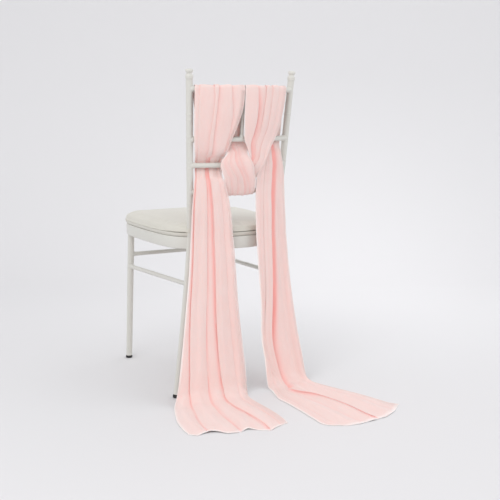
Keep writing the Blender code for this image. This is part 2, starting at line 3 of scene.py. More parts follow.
import bmesh
import bpy
import numpy as np
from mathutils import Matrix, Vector


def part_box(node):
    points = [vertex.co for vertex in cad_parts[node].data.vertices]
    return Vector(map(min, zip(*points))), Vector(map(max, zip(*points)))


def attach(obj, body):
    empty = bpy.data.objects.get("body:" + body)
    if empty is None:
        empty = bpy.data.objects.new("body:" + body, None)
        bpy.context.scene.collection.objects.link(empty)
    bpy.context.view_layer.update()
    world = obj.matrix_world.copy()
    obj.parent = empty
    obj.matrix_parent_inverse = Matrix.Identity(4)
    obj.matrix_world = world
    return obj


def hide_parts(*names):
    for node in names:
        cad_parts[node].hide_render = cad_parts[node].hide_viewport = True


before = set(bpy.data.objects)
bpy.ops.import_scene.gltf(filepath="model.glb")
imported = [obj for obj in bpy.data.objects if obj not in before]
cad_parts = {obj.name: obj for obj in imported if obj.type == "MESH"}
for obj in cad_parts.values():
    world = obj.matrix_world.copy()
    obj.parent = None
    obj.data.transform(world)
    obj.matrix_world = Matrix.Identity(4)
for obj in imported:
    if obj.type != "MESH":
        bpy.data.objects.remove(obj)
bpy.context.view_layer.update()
bpy.context.scene.view_settings.view_transform = "Standard"
print("frame loaded,", len(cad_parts), "nodes")

# What the posts, rails and cloth share. Half widths are to the middle of the posts.
chair = {
    "height": 0.920,
    "seatHeight": 0.451,
    "boardTop": 0.463,
    "padTop": 0.4895,
    "frameBottom": 0.416,
    "postHalfSeat": 0.140,
    "postHalfTop": 0.162,
    "postHalfFoot": 0.2104,
    "postLean": 0.0535,
    "footBehind": 0.0494,
    "postCurve": 1.2,
    "postRadius": 0.0095,
    "railRadius": 0.0073,
    "railBow": 0.040,
    "rails": {"rail_top": 0.8658, "rail_two": 0.728, "rail_three": 0.656, "rail_four": 0.581},
}

frontLeg = {"halfTop": 0.169, "yTop": 0.3987, "halfFoot": 0.183, "yFoot": 0.4045,
            "radiusTop": 0.0105, "radiusFoot": 0.0095}

bothSides = ((-1, "left"), (1, "right"))

# The chair's middle line and the line of its back posts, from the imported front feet
lowLeft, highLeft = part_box("foot_front_left")
lowRight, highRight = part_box("foot_front_right")
shift = Vector(((lowLeft[0] + highRight[0]) / 2, (lowLeft[1] + highLeft[1]) / 2 - frontLeg["yFoot"], 0))


def ease(value):
    value = min(1.0, max(0.0, value))
    return value * value * (3 - 2 * value)


def mix(a, b, share):
    return a + (b - a) * share


def spline(a, b, c, d, t):
    return 0.5 * ((2 * b) + (c - a) * t + (2 * a - 5 * b + 4 * c - d) * t * t
                  + (3 * b - a - 3 * c + d) * t ** 3)


def lean(z):
    return max(0.0, (z - chair["seatHeight"]) / (chair["height"] - chair["seatHeight"]))


def postHalf(z):
    return mix(chair["postHalfSeat"], chair["postHalfTop"], lean(z))


def behindBack(x, out, z):
    # a place across, out behind the rails and up, as a point of the chair
    bow = max(0.0, 1 - (x / postHalf(z)) ** 2)
    fade = ease((z - 0.06) / 0.39)
    return Vector((x, -chair["postLean"] * lean(z) - chair["railBow"] * bow * fade - out, z)) + shift


def postPoint(z, side):
    if z >= chair["seatHeight"]:
        return Vector((side * postHalf(z), -chair["postLean"] * lean(z), z)) + shift
    drop = ((chair["seatHeight"] - z) / chair["seatHeight"]) ** chair["postCurve"]
    half = mix(chair["postHalfSeat"], chair["postHalfFoot"], drop)
    return Vector((side * half, -chair["footBehind"] * drop, z)) + shift


def legPoint(z, side):
    share = z / chair["frameBottom"]
    half = mix(frontLeg["halfFoot"], frontLeg["halfTop"], share)
    return Vector((side * half, mix(frontLeg["yFoot"], frontLeg["yTop"], share), z)) + shift


def addObject(name, data):
    thing = bpy.data.objects.new(name, data)
    bpy.context.collection.objects.link(thing)
    return thing


def finishPiece(name, mesh, material, replaced=(), smoothAngle=40):
    mesh.name = name
    mesh.shade_smooth()
    mesh.set_sharp_from_angle(angle=math.radians(smoothAngle))
    if not mesh.materials:
        mesh.materials.append(material)
    piece = addObject(name, mesh)
    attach(piece, "root")
    if replaced:
        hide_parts(*replaced)
    return piece


def bridge(bm, rings):
    for low, high in zip(rings, rings[1:]):
        for k in range(len(low)):
            n = (k + 1) % len(low)
            bm.faces.new((low[k], low[n], high[n], high[k]))


def meshFrom(bm):
    mesh = bpy.data.meshes.new("made")
    bm.to_mesh(mesh)
    bm.free()
    return mesh


def bakedMesh(thing):
    # the evaluated result as a plain mesh, with the maker object gone
    bpy.context.view_layer.update()
    evaluated = thing.evaluated_get(bpy.context.evaluated_depsgraph_get())
    mesh = bpy.data.meshes.new_from_object(evaluated)
    source = thing.data
    bpy.data.objects.remove(thing, do_unlink=True)
    bpy.data.meshes.remove(source)
    return mesh


# Nodes and shader groups that several finishes share

def feed(tree, socket, value):
    # a link from another socket, or else a value; a colour comes without its alpha
    if isinstance(value, bpy.types.NodeSocket):
        tree.links.new(value, socket)
    else:
        socket.default_value = (*value, 1.0) if socket.type == "RGBA" else value


def addNode(tree, kind, setup=None, **inputs):
    node = tree.nodes.new(kind)
    for label, value in (setup or {}).items():
        setattr(node, label, value)
    for label, value in inputs.items():
        feed(tree, node.inputs[label.replace("_", " ")], value)
    return node


def newGroup(name, kind, inputs, outputs):
    # inputs: name, kind and, where it has one, value
    tree = bpy.data.node_groups.new(name, kind + "NodeTree")
    for label, socketKind, *value in inputs:
        socket = tree.interface.new_socket(label, in_out="INPUT", socket_type="NodeSocket" + socketKind)
        if value:
            socket.default_value = value[0]
    for label, socketKind in outputs:
        tree.interface.new_socket(label, in_out="OUTPUT", socket_type="NodeSocket" + socketKind)
    return tree, tree.nodes.new("NodeGroupInput").outputs, tree.nodes.new("NodeGroupOutput").inputs


def doMath(tree, operation, *values):
    node = addNode(tree, "ShaderNodeMath", {"operation": operation})
    for socket, value in zip(node.inputs, values):
        feed(tree, socket, value)
    return node.outputs[0]


def times(tree, first, second):
    return doMath(tree, "MULTIPLY", first, second)


def timesPlus(tree, first, second, added):
    return doMath(tree, "MULTIPLY_ADD", first, second, added)


def mixColour(tree, factor, first, second):
    node = addNode(tree, "ShaderNodeMix", {"data_type": "RGBA"})
    for index, value in ((0, factor), (6, first), (7, second)):
        feed(tree, node.inputs[index], value)
    return node.outputs[2]


def stretchVector(tree, vector, scale):
    node = addNode(tree, "ShaderNodeVectorMath", {"operation": "MULTIPLY"})
    feed(tree, node.inputs[0], vector)
    feed(tree, node.inputs[1], scale)
    return node.outputs[0]


def speckleGroup():
    tree, given, result = newGroup(
        "softSpeckle", "Shader",
        [("Vector", "Vector", (0, 0, 0)), ("Broad Scale", "Float", 12.0), ("Fine Scale", "Float", 900.0)],
        [("Broad", "Float"), ("Fine", "Float")])
    for label, detail in (("Broad", 4.0), ("Fine", 2.0)):
        noise = addNode(tree, "ShaderNodeTexNoise", Detail=detail, Vector=given["Vector"],
                        Scale=given[label + " Scale"])
        feed(tree, result[label], noise.outputs["Fac"])
    return tree


def weaveGroup():
    # over-and-under threads on a flat map measured in metres
    tree, given, result = newGroup(
        "plainWeave", "Shader", [("Flat Map", "Vector", (0, 0, 0)), ("Threads", "Float", 900.0)],
        [("Height", "Float")])
    split = addNode(tree, "ShaderNodeSeparateXYZ", Vector=given["Flat Map"])
    waves = []
    for axis in (0, 1):
        turns = times(tree, split.outputs[axis], given["Threads"])
        waves.append(doMath(tree, "SINE", times(tree, turns, math.pi)))
    feed(tree, result["Height"], timesPlus(tree, times(tree, *waves), 0.5, 0.5))
    return tree


speckle = speckleGroup()
weave = weaveGroup()


def speckles(tree, vector, broad, fine):
    return addNode(tree, "ShaderNodeGroup", {"node_tree": speckle},
                   Vector=vector, Broad_Scale=broad, Fine_Scale=fine).outputs


def startMaterial(name):
    material = bpy.data.materials.new(name)
    material.use_nodes = True
    tree = material.node_tree
    return material, tree, tree.nodes["Principled BSDF"]


def dress(tree, shader, values):
    for label, value in values.items():
        feed(tree, shader.inputs[label], value)


def addBump(tree, shader, height, distance, strength):
    bump = addNode(tree, "ShaderNodeBump", Distance=distance, Strength=strength, Height=height)
    feed(tree, shader.inputs["Normal"], bump.outputs["Normal"])


def ownPlace(tree):
    return tree.nodes.new("ShaderNodeTexCoord").outputs["Object"]


def ownAttribute(tree, name):
    return addNode(tree, "ShaderNodeAttribute", {"attribute_name": name}).outputs["Fac"]


paint = {
    "colour": (0.665, 0.655, 0.610),
    "shade": (0.605, 0.595, 0.545),
    "worn": (0.76, 0.75, 0.71),
    # the dark tone of the painted shade in the hollows
    "hollowShade": (0.30, 0.29, 0.23),
    "smoothest": 0.28,
}


def paintMaterial():
    # sprayed ivory enamel: faint mottle, orange peel, paler edges and painted shade that darkens the corners
    # and hollows
    material, tree, shader = startMaterial("ivoryEnamel")
    spots = speckles(tree, ownPlace(tree), 9.0, 420.0)
    tone = mixColour(tree, times(tree, spots["Broad"], 0.55), paint["colour"], paint["shade"])
    edge = tree.nodes.new("ShaderNodeNewGeometry").outputs["Pointiness"]
    # paler on the sharp edges; darker in the hollows as painted shade
    for start, full, share, colour in ((0.52, 0.62, 0.45, "worn"), (0.48, 0.38, 0.55, "hollowShade")):
        mask = addNode(tree, "ShaderNodeMapRange", From_Min=start, From_Max=full, Value=edge)
        tone = mixColour(tree, times(tree, mask.outputs["Result"], share), tone, paint[colour])
    rough = timesPlus(tree, spots["Fine"], 0.14, paint["smoothest"])
    dress(tree, shader, {"Base Color": tone, "Roughness": rough, "Coat Weight": 0.25, "Coat Roughness": 0.2})
    addBump(tree, shader, spots["Fine"], 0.0002, 0.35)
    return material


padCover = {"colour": (0.665, 0.645, 0.580), "shade": (0.600, 0.580, 0.510), "grain": 1300.0}


def padMaterial():
    # ivory vinyl: fine pebble grain over soft stretch marks
    material, tree, shader = startMaterial("ivoryPadCover")
    place = ownPlace(tree)
    spots = speckles(tree, place, 7.0, padCover["grain"])
    tone = mixColour(tree, times(tree, spots["Broad"], 0.6), padCover["colour"], padCover["shade"])
    rough = timesPlus(tree, spots["Broad"], 0.2, 0.42)
    dress(tree, shader, {"Base Color": tone, "Roughness": rough, "Sheen Weight": 0.15})
    cells = addNode(tree, "ShaderNodeTexVoronoi", Scale=padCover["grain"] * 0.6, Vector=place)
    pulls = speckles(tree, stretchVector(tree, place, (9.0, 30.0, 20.0)), 1.0, 3.0)
    height = timesPlus(tree, pulls["Broad"], 2.5, cells.outputs["Distance"])
    addBump(tree, shader, height, 0.0004, 0.5)
    return material


def speckledMaterial(name, dark, light, broad, fine, smoothest, bumps):
    material, tree, shader = startMaterial(name)
    spots = speckles(tree, ownPlace(tree), broad, fine)
    dress(tree, shader, {"Base Color": mixColour(tree, spots["Broad"], dark, light),
                         "Roughness": timesPlus(tree, spots["Fine"], 0.2, smoothest)})
    addBump(tree, shader, spots["Fine"], bumps, 0.5)
    return material


chiffon = {
    "pale": (0.880, 0.705, 0.670),
    # deep: the salmon of the painted fold shade, also the tone of overlapping sheer layers
    "deep": (0.945, 0.430, 0.395),
    "mottle": (0.870, 0.650, 0.612),
    # hem: near white, a painted highlight along the rolled hem
    "hem": (0.960, 0.885, 0.865),
    "threads": 1400.0,
    "cover": 0.92,
    "glow": 0.50,
}


def chiffonMaterial():
    # sheer blush crepe: fine plain weave, deeper where it lies in folds, painted fold shade that also stands
    # for the overlapping sheer layers; denser at the hem, and painted near white there as a highlight
    material, tree, shader = startMaterial("blushChiffon")
    flat = addNode(tree, "ShaderNodeUVMap", {"uv_map": "flatCut"}).outputs["UV"]
    threads = addNode(tree, "ShaderNodeGroup", {"node_tree": weave},
                      Flat_Map=flat, Threads=chiffon["threads"]).outputs["Height"]
    crepe = speckles(tree, flat, 16.0, 700.0)
    creases = speckles(tree, stretchVector(tree, flat, (150.0, 9.0, 1.0)), 1.0, 2.5)
    streaks = speckles(tree, stretchVector(tree, flat, (38.0, 2.6, 1.0)), 1.0, 2.0)
    hem = ownAttribute(tree, "hemShade")
    patchy = times(tree, crepe["Broad"], streaks["Broad"])
    tone = mixColour(tree, times(tree, patchy, 1.8), chiffon["pale"], chiffon["mottle"])
    # painted fold shade: deeper salmon in the folds, partly the overlapping sheer layers
    tone = mixColour(tree, ownAttribute(tree, "foldShade"), tone, chiffon["deep"])
    # painted highlight: the rolled hem whiter, most where it lies on the floor
    tone = mixColour(tree, times(tree, hem, 0.85), tone, chiffon["hem"])
    sheerest = doMath(tree, "SUBTRACT", chiffon["cover"],
                      times(tree, ownAttribute(tree, "sheerShade"), 0.36))
    woven = timesPlus(tree, threads, 0.08, sheerest)
    weaveHeight = timesPlus(tree, threads, 0.12, crepe["Fine"])
    addBump(tree, shader, timesPlus(tree, creases["Broad"], 3.0, weaveHeight), 0.0006, 0.5)
    dress(tree, shader, {
        "Base Color": tone, "Roughness": timesPlus(tree, crepe["Fine"], 0.15, 0.72),
        "Alpha": doMath(tree, "MAXIMUM", woven, times(tree, hem, 0.97)),
        "Sheen Weight": 0.08, "Sheen Roughness": 0.4, "Specular IOR Level": 0.2,
        "Subsurface Weight": chiffon["glow"], "Subsurface Radius": (1.0, 0.8, 0.75),
        "Subsurface Scale": 0.0004})
    return material


enamel = paintMaterial()
padSkin = padMaterial()
rubber = speckledMaterial("blackRubber", (0.012, 0.012, 0.013), (0.035, 0.034, 0.034),
                          40.0, 1500.0, 0.62, 0.0003)
chiffonCloth = chiffonMaterial()
thread = speckledMaterial("paleThread", (0.93, 0.78, 0.75), (0.96, 0.86, 0.83), 60.0, 2500.0, 0.45, 0.0001)
print("finishes made")


# The painted frame: round rods along their routes, swollen into welds at the joints

rods = {
    "weldSwell": 0.0022,
    "weldReach": 0.0035,
    "beads": ((0.540, 0.0008), (0.656, 0.0008), (0.728, 0.0008), (0.790, 0.0009)),
    "beadSpread": 0.0075,
    "beadWidth": 0.0019,
    "spindle": {"x": -0.012, "radius": 0.005},
    "sideStretcher": {"front": 0.306, "back": 0.317, "radius": 0.00635,
                      "beads": (0.40, 0.43, 0.50), "beadProud": 0.0007},
    "frontStretcher": {"z": 0.346, "radius": 0.0065},
}

finial = (
    # below the top, radius
    (0.034, 0.0095), (0.0275, 0.0095), (0.0262, 0.0103), (0.025, 0.0108), (0.0232, 0.0109),
    (0.0222, 0.0105), (0.0212, 0.0109), (0.019, 0.0109), (0.0176, 0.0105), (0.0162, 0.0094), (0.014, 0.008),
    (0.0124, 0.0077), (0.011, 0.008), (0.0096, 0.0092), (0.0082, 0.0103), (0.0066, 0.0108),
    (0.0044, 0.0108), (0.003, 0.0104), (0.0018, 0.0093), (0.0008, 0.007), (0.0002, 0.0035), (0.0, 0.0004),
)


def closeTree(tree, made, finish, result):
    real = addNode(tree, "GeometryNodeRealizeInstances", Geometry=made)
    dressed = addNode(tree, "GeometryNodeSetMaterial", Geometry=real.outputs["Geometry"], Material=finish)
    feed(tree, result["Geometry"], dressed.outputs["Geometry"])
    return tree


def rodTree():
    # a polyline with a radius at each point becomes a capped round rod
    tree, given, result = newGroup(
        "roundRod", "Geometry", [("Geometry", "Geometry"), ("Sides", "Int"), ("Finish", "Material")],
        [("Geometry", "Geometry")])
    radius = addNode(tree, "GeometryNodeInputNamedAttribute", {"data_type": "FLOAT"}, Name="rodRadius")
    curve = addNode(tree, "GeometryNodeMeshToCurve", Mesh=given["Geometry"])
    ring = addNode(tree, "GeometryNodeCurvePrimitiveCircle", Radius=1.0, Resolution=given["Sides"])
    sweep = addNode(tree, "GeometryNodeCurveToMesh", Fill_Caps=True, Curve=curve.outputs["Curve"],
                    Profile_Curve=ring.outputs["Curve"], Scale=radius.outputs["Attribute"])
    return closeTree(tree, sweep.outputs["Mesh"], given["Finish"], result)


roundRod = rodTree()


def grownMesh(name, points, tree, inputs, radii=None):
    # what a node tree grows on a polyline
    mesh = bpy.data.meshes.new(name)
    mesh.from_pydata([tuple(p) for p in points], [(i, i + 1) for i in range(len(points) - 1)], [])
    if radii is not None:
        mesh.attributes.new("rodRadius", "FLOAT", "POINT").data.foreach_set("value", np.float32(radii))
    maker = addObject(name, mesh)
    modifier = maker.modifiers.new("grown", "NODES")
    modifier.node_group = tree
    for item in tree.interface.items_tree:
        if item.in_out == "INPUT" and item.name in inputs:
            modifier[item.identifier] = inputs[item.name]
    return bakedMesh(maker)


def rodPiece(name, points, radii, replaced, sides=40):
    mesh = grownMesh(name + "Route", points, roundRod, {"Sides": sides, "Finish": enamel}, radii)
    bm = bmesh.new()
    bm.from_mesh(mesh)
    bmesh.ops.recalc_face_normals(bm, faces=bm.faces)
    bm.to_mesh(mesh)
    bm.free()
    return finishPiece(name, mesh, enamel, [replaced], 50)


def weldSwell(distance):
    # how much a rod thickens this far from the surface that it is welded to
    return rods["weldSwell"] * math.exp(-max(0.0, distance) / rods["weldReach"])


def welded(points, radius, startDepth, endDepth):
    # radii along a rod whose ends lie startDepth and endDepth inside what they are welded to
    lengths = [0.0]
    for a, b in zip(points, points[1:]):
        lengths.append(lengths[-1] + (b - a).length)
    return [radius + weldSwell(at - startDepth) + weldSwell(lengths[-1] - at - endDepth) for at in lengths]


def spaced(start, end, coarse, fine, reach):
    # shares from start to end, fine within reach of both ends
    total = abs(end - start)
    inner = np.arange(reach, total - reach, coarse)
    places = np.concatenate([np.arange(0, reach, fine), inner, total - np.arange(0, reach, fine)[::-1]])
    return start + (end - start) * places / total


def postRadiusAt(z):
    radius = chair["postRadius"]
    below = chair["height"] - z
    if below < finial[0][0]:
        table = sorted(finial)
        radius = float(np.interp(below, [row[0] for row in table], [row[1] for row in table]))
    for middle, proud in rods["beads"]:
        for side in (-1, 1):
            away = (z - middle - side * rods["beadSpread"]) / rods["beadWidth"]
            radius += proud * math.exp(-away * away)
    return radius


def makePosts():
    heights = list(np.arange(0.0081, 0.42, 0.012)) + list(np.arange(0.42, 0.52, 0.006))
    heights += list(np.arange(0.52, 0.81, 0.0014)) + list(np.arange(0.81, 0.886, 0.005))
    heights += sorted(chair["height"] - below for below, _ in finial)
    for side, word in bothSides:
        points = [postPoint(z, side) for z in heights]
        rodPiece("backPost_" + word, points, [postRadiusAt(z) for z in heights], "post_" + word)


def makeRails():
    for name, z in chair["rails"].items():
        half = postHalf(z)
        points = [behindBack(x, 0.0, z) for x in spaced(-half, half, 0.006, 0.0012, 0.022)]
        sunk = chair["postRadius"]
        rodPiece(name.replace("rail_", "backRail_"), points,
                 welded(points, chair["railRadius"], sunk, sunk), name)
    spindle = rods["spindle"]
    low = behindBack(spindle["x"], 0, chair["rails"]["rail_two"])
    high = behindBack(spindle["x"], 0, chair["rails"]["rail_top"])
    points = [low.lerp(high, s) for s in spaced(0, 1, 0.06, 0.009, 0.16)]
    sunk = chair["railRadius"]
    rodPiece("backSpindle", points, welded(points, spindle["radius"], sunk, sunk), "spindle_centre", 28)


def makeLegs():
    for side, word in bothSides:
        heights = list(np.arange(0.0081, chair["seatHeight"] - 0.004, 0.008))
        heights += [chair["seatHeight"] - drop for drop in (0.004, 0.0025, 0.0015, 0.0009)]
        radii = [mix(frontLeg["radiusFoot"], frontLeg["radiusTop"], min(1, z / chair["frameBottom"]))
                 for z in heights]
        radii[-2:] = [radii[-1] - 0.0005, radii[-1] - 0.0014]
        rodPiece("frontLeg_" + word, [legPoint(z, side) for z in heights], radii, "leg_front_" + word)
        rod = rods["sideStretcher"]
        front, back = legPoint(rod["front"], side), postPoint(rod["back"], side)
        shares = np.unique(np.concatenate([spaced(0, 1, 0.02, 0.003, 0.05), np.arange(0.36, 0.54, 0.003)]))
        points = [front.lerp(back, s) for s in shares]
        radii = welded(points, rod["radius"], frontLeg["radiusTop"], chair["postRadius"])
        for i, share in enumerate(shares):
            for bead in rod["beads"]:
                radii[i] += rod["beadProud"] * math.exp(-((share - bead) / 0.006) ** 2)
            # the flattened collar where the bar meets the front leg
            radii[i] += 0.0012 * (1 - ease((share - 0.035) / 0.015))
        rodPiece("sideStretcher_" + word, points, radii, "stretcher_" + word)
    rod = rods["frontStretcher"]
    left, right = legPoint(rod["z"], -1), legPoint(rod["z"], 1)
    points = [left.lerp(right, s) for s in spaced(0, 1, 0.02, 0.0035, 0.07)]
    rodPiece("frontStretcher", points,
             welded(points, rod["radius"], frontLeg["radiusTop"], frontLeg["radiusTop"]), "stretcher_front")


rubberFoot = (
    # height, radius
    (0.0, 0.0004), (0.0, 0.0085), (0.0004, 0.0096), (0.0012, 0.0103), (0.0024, 0.0107), (0.004, 0.0107),
    (0.006, 0.0105), (0.0076, 0.0104), (0.0082, 0.0101), (0.0084, 0.0096), (0.0084, 0.0004),
)


def makeFeet():
    sides = 48
    for name, point in [(f"back_{word}", postPoint(0, side)) for side, word in bothSides] \
            + [(f"front_{word}", legPoint(0, side)) for side, word in bothSides]:
        bm = bmesh.new()
        rings = []
        for z, radius in rubberFoot:
            rings.append([bm.verts.new((point.x + radius * math.cos(2 * math.pi * k / sides),
                                        point.y + radius * math.sin(2 * math.pi * k / sides), z))
                          for k in range(sides)])
        bridge(bm, rings)
        bm.faces.new(rings[0][::-1])
        bm.faces.new(rings[-1])
        finishPiece("rubberFoot_" + name, meshFrom(bm), rubber, ["foot_" + name], 60)


makePosts()
makeRails()
makeLegs()
makeFeet()
print("posts, rails, legs and feet made")


# The seat: a bent metal band, the pale board edge above it and the padded cushion

seat = {
    "middle": 0.190,
    "voxel": 0.005,
    "footInset": -0.0034,
    "footReach": 0.0050,
    "footPull": 0.0075,
    "postGap": 0.0012,
    "pressure": 4.0,
    "cap": 0.005,
    "frames": 20,
}

seatPlan = (
    # half of the seat's plan, from the front centre to the back centre: x, y
    (0.0, 0.42), (0.09, 0.4185), (0.15, 0.415), (0.182, 0.4), (0.196, 0.35), (0.199, 0.27), (0.197, 0.17),
    (0.189, 0.08), (0.172, 0.026), (0.14, -0.008), (0.095, -0.033), (0.045, -0.048), (0.0, -0.053),
)


def seatOutline(inset, finer=6):
    half = [Vector(row) for row in seatPlan]
    whole = half + [Vector((-p.x, p.y)) for p in reversed(half[1:-1])]
    count = len(whole)
    smooth = []
    for i in range(count):
        a, b, c, d = (whole[(i + k) % count] for k in (-1, 0, 1, 2))
        smooth += [spline(a, b, c, d, k / finer) for k in range(finer)]
    count = len(smooth)
    moved = []
    for i in range(count):
        along = (smooth[(i + 1) % count] - smooth[i - 1]).normalized()
        moved.append(smooth[i] + Vector((-along.y, along.x)) * -inset)
    return moved


def slabMesh(rows, crown=()):
    bm = bmesh.new()
    rings = [[bm.verts.new((p.x + shift.x, p.y + shift.y, z)) for p in seatOutline(inset)]
             for z, inset in rows]
    for z, share in crown:
        ring = []
        for p in seatOutline(rows[-1][1]):
            y = seat["middle"] + (p.y - seat["middle"]) * share
            ring.append(bm.verts.new((p.x * share + shift.x, y + shift.y, z)))
        rings.append(ring)
    bridge(bm, rings)
    bm.faces.new(rings[0])
    bm.faces.new(rings[-1])
    bmesh.ops.recalc_face_normals(bm, faces=bm.faces)
    return meshFrom(bm)


def roundedRows(bottom, top, radius):
    corner = [(radius * (1 - math.sin(turn)), radius * (1 - math.cos(turn)))
              for turn in (math.pi / 2 * k / 3 for k in range(4))]
    return [(bottom + up, inward) for up, inward in reversed(corner)] + \
        [(top - down, inward) for down, inward in corner]


def makeSeatFrame():
    rows = roundedRows(chair["frameBottom"], chair["seatHeight"], 0.003)
    finishPiece("seatBand", slabMesh(rows), enamel, ["seat_frame"], 50)
    low, high = chair["seatHeight"] + 0.0003, chair["boardTop"] - 0.0003
    rows = [(low, 0.0035), (low + 0.0012, 0.0012), (low + 0.0040, -0.0014), (low + 0.0070, -0.0026),
            (high - 0.0012, -0.0033), (high, -0.0033)]
    finishPiece("seatBoardEdge", slabMesh(rows), padSkin, ["seat_board"], 70)


def padStart():
    # the cushion before it is blown up, a little smaller than the solid that it stands for
    top, base = chair["padTop"], chair["boardTop"]
    rows = [(base, 0.0010), (base + 0.0030, -0.0030), (base + 0.0095, -0.0055), (base + 0.0165, -0.0030),
            (base + 0.0205, 0.0065)]
    return slabMesh(rows, [(top - 0.0038, 0.84), (top - 0.0022, 0.55), (top - 0.0016, 0.25)])


def modified(name, mesh, kind, **settings):
    thing = addObject(name, mesh)
    modifier = thing.modifiers.new(name, kind)
    for label, value in settings.items():
        setattr(modifier, label, value)
    return bakedMesh(thing)


def coordinates(mesh):
    points = np.zeros(len(mesh.vertices) * 3, np.float32)
    mesh.vertices.foreach_get("co", points)
    return points.reshape(-1, 3)


def blownUp(mesh):
    start = coordinates(mesh)
    thing = addObject("padBlown", mesh)
    held = thing.vertex_groups.new(name="onBoard")
    low = chair["boardTop"] + 0.002
    held.add([i for i, p in enumerate(start) if p[2] < low], 1.0, "REPLACE")
    cloth = thing.modifiers.new("cover", "CLOTH")
    cloth.settings.quality = 5
    cloth.settings.use_pressure = True
    cloth.settings.uniform_pressure_force = seat["pressure"]
    cloth.settings.effector_weights.gravity = 0
    cloth.settings.vertex_group_mass = "onBoard"
    cloth.point_cache.frame_start = 1
    cloth.point_cache.frame_end = seat["frames"]
    for step in range(1, seat["frames"] + 1):
        bpy.context.scene.frame_set(step)
    result = bakedMesh(thing)
    bpy.context.scene.frame_set(1)
    moved = coordinates(result) - start
    far = np.linalg.norm(moved, axis=1)[:, None]
    capped = start + moved * np.minimum(1, seat["cap"] / np.maximum(far, 1e-9))
    capped[:, 2] = np.maximum(capped[:, 2], chair["boardTop"])
    result.vertices.foreach_set("co", capped.astype(np.float32).ravel())
    result.update()
    return result


def squareFoot(mesh):
    # the cover pulled square round the foot of the pad, but for the back, where it stays round
    rim = np.array([(p.x + shift.x, p.y + shift.y) for p in seatOutline(seat["footInset"], 40)])
    base, reach = chair["boardTop"], seat["footReach"]
    for vertex in mesh.vertices:
        above = (vertex.co.z - base) / reach
        if above >= 1:
            continue
        away = rim - np.array(vertex.co.xy)
        distance = np.hypot(away[:, 0], away[:, 1])
        nearest = int(distance.argmin())
        if distance[nearest] < seat["footPull"]:
            pull = (1 - ease(above)) * ease((vertex.co.y - shift.y - 0.02) / 0.08)
            vertex.co.x += away[nearest][0] * pull
            vertex.co.y += away[nearest][1] * pull


def makePad():
    mesh = modified("padStart", padStart(), "REMESH", mode="VOXEL", voxel_size=seat["voxel"])
    mesh = blownUp(mesh)
    mesh = modified("padFiner", mesh, "SUBSURF", levels=1, render_levels=1)
    squareFoot(mesh)
    clear = chair["postRadius"] + seat["postGap"]
    for vertex in mesh.vertices:
        for side in (-1, 1):
            post = postPoint(vertex.co.z, side)
            away = Vector((vertex.co.x - post.x, vertex.co.y - post.y))
            if away.length < clear:
                away = away.normalized() * clear if away.length > 1e-6 else Vector((0, clear))
                vertex.co.x, vertex.co.y = post.x + away.x, post.y + away.y
    pad = finishPiece("seatCushion", mesh, padSkin, ["seat_pad"], 80)


makeSeatFrame()
makePad()
print("seat made")


# The sash, one strip of cloth from hem to hem

sash = {
    "cutWidth": 0.30,
    "cutLength": 3.10,
    "thickness": 0.0005,
    "hemThickness": 0.0016,
    "hemWidth": 0.0035,
    "bodyColumns": 17,
    "fineStep": 0.0075,
    "coarseStep": 0.0110,
    "wrapRadius": 0.0108,
    "railGap": 0.0014,
    "railDepth": 0.0014,
    "floorDepth": 0.0024,
    "smooth": 6,
    "stitchPitch": 0.0032,
    "stitchLength": 0.0021,
    "threadRadius": 0.00022,
    "stitchInset": 0.0030,
    "stitchProud": 0.0003,
    # how far cloth swells between its pleats: hanging free, near a rail, on the floor
    "swellFree": 0.0036,
    "swellRail": 0.0010,
    "swellFloor": 0.0040,
    "floorReach": 0.09,
    "hemFlat": 0.020,
    "settleReach": 0.012,
    "lowest": 0.0010,
    "fullPleat": 0.006,
    # colour: how deep the painted fold shade is on a turned edge, where the sheer right edge starts, the
    # hem's painted highlight at full strength below
    "turnShade": 0.3,
    "sheerFrom": 0.88,
    "sheerOver": 0.08,
    "hemFullBelow": 0.35,
    "hemFadesOver": 0.25,
    "hemHighUp": 0.30,
}

# A row for each section from the left hem to the right hem: height, how far the left and the
# right edge stand out behind the rails, and where the two edges are across the chair.
leftTailRows = (
    (0.0024, 0.335, 0.378, -0.301, -0.037), (0.0024, 0.3, 0.33, -0.3006, -0.03),
    (0.0024, 0.245, 0.268, -0.2925, -0.0275), (0.0024, 0.195, 0.206, -0.277, -0.03),
    (0.0055, 0.155, 0.154, -0.2625, -0.029), (0.03, 0.13, 0.127, -0.25, -0.023),
    (0.08, 0.115, 0.112, -0.2295, -0.0216), (0.15, 0.096, 0.095, -0.2113, -0.025),
    (0.25, 0.074, 0.074, -0.19, -0.0325), (0.35, 0.055, 0.055, -0.1706, -0.0376),
    (0.45, 0.04, 0.039, -0.1574, -0.0413), (0.53, 0.03, 0.03, -0.1515, -0.048),
    (0.58, 0.022, 0.026, -0.1455, -0.0575), (0.608, 0.013, 0.0225, -0.1415, -0.064),
    (0.622, 0.0075, 0.015, -0.1385, -0.0685), (0.64, -0.006, -0.004, -0.1345, -0.064),
    (0.656, -0.013, -0.013, -0.133, -0.0595),
)
leftHalfRows = (
    (0.675, -0.006, -0.006, -0.136, -0.059), (0.695, 0.008, 0.008, -0.142, -0.0558),
    (0.728, 0.015, 0.015, -0.1475, -0.047), (0.76, 0.016, 0.016, -0.149, -0.0352),
    (0.8, 0.015, 0.015, -0.15, -0.0218), (0.84, 0.014, 0.014, -0.1505, -0.015),
)
leftDownRows = (
    (0.84, -0.014, -0.014, -0.144, -0.01), (0.79, -0.0145, -0.0145, -0.13, -0.004),
    (0.75, -0.0135, -0.0135, -0.08, -0.002), (0.728, -0.013, -0.013, -0.046, -0.004),
)
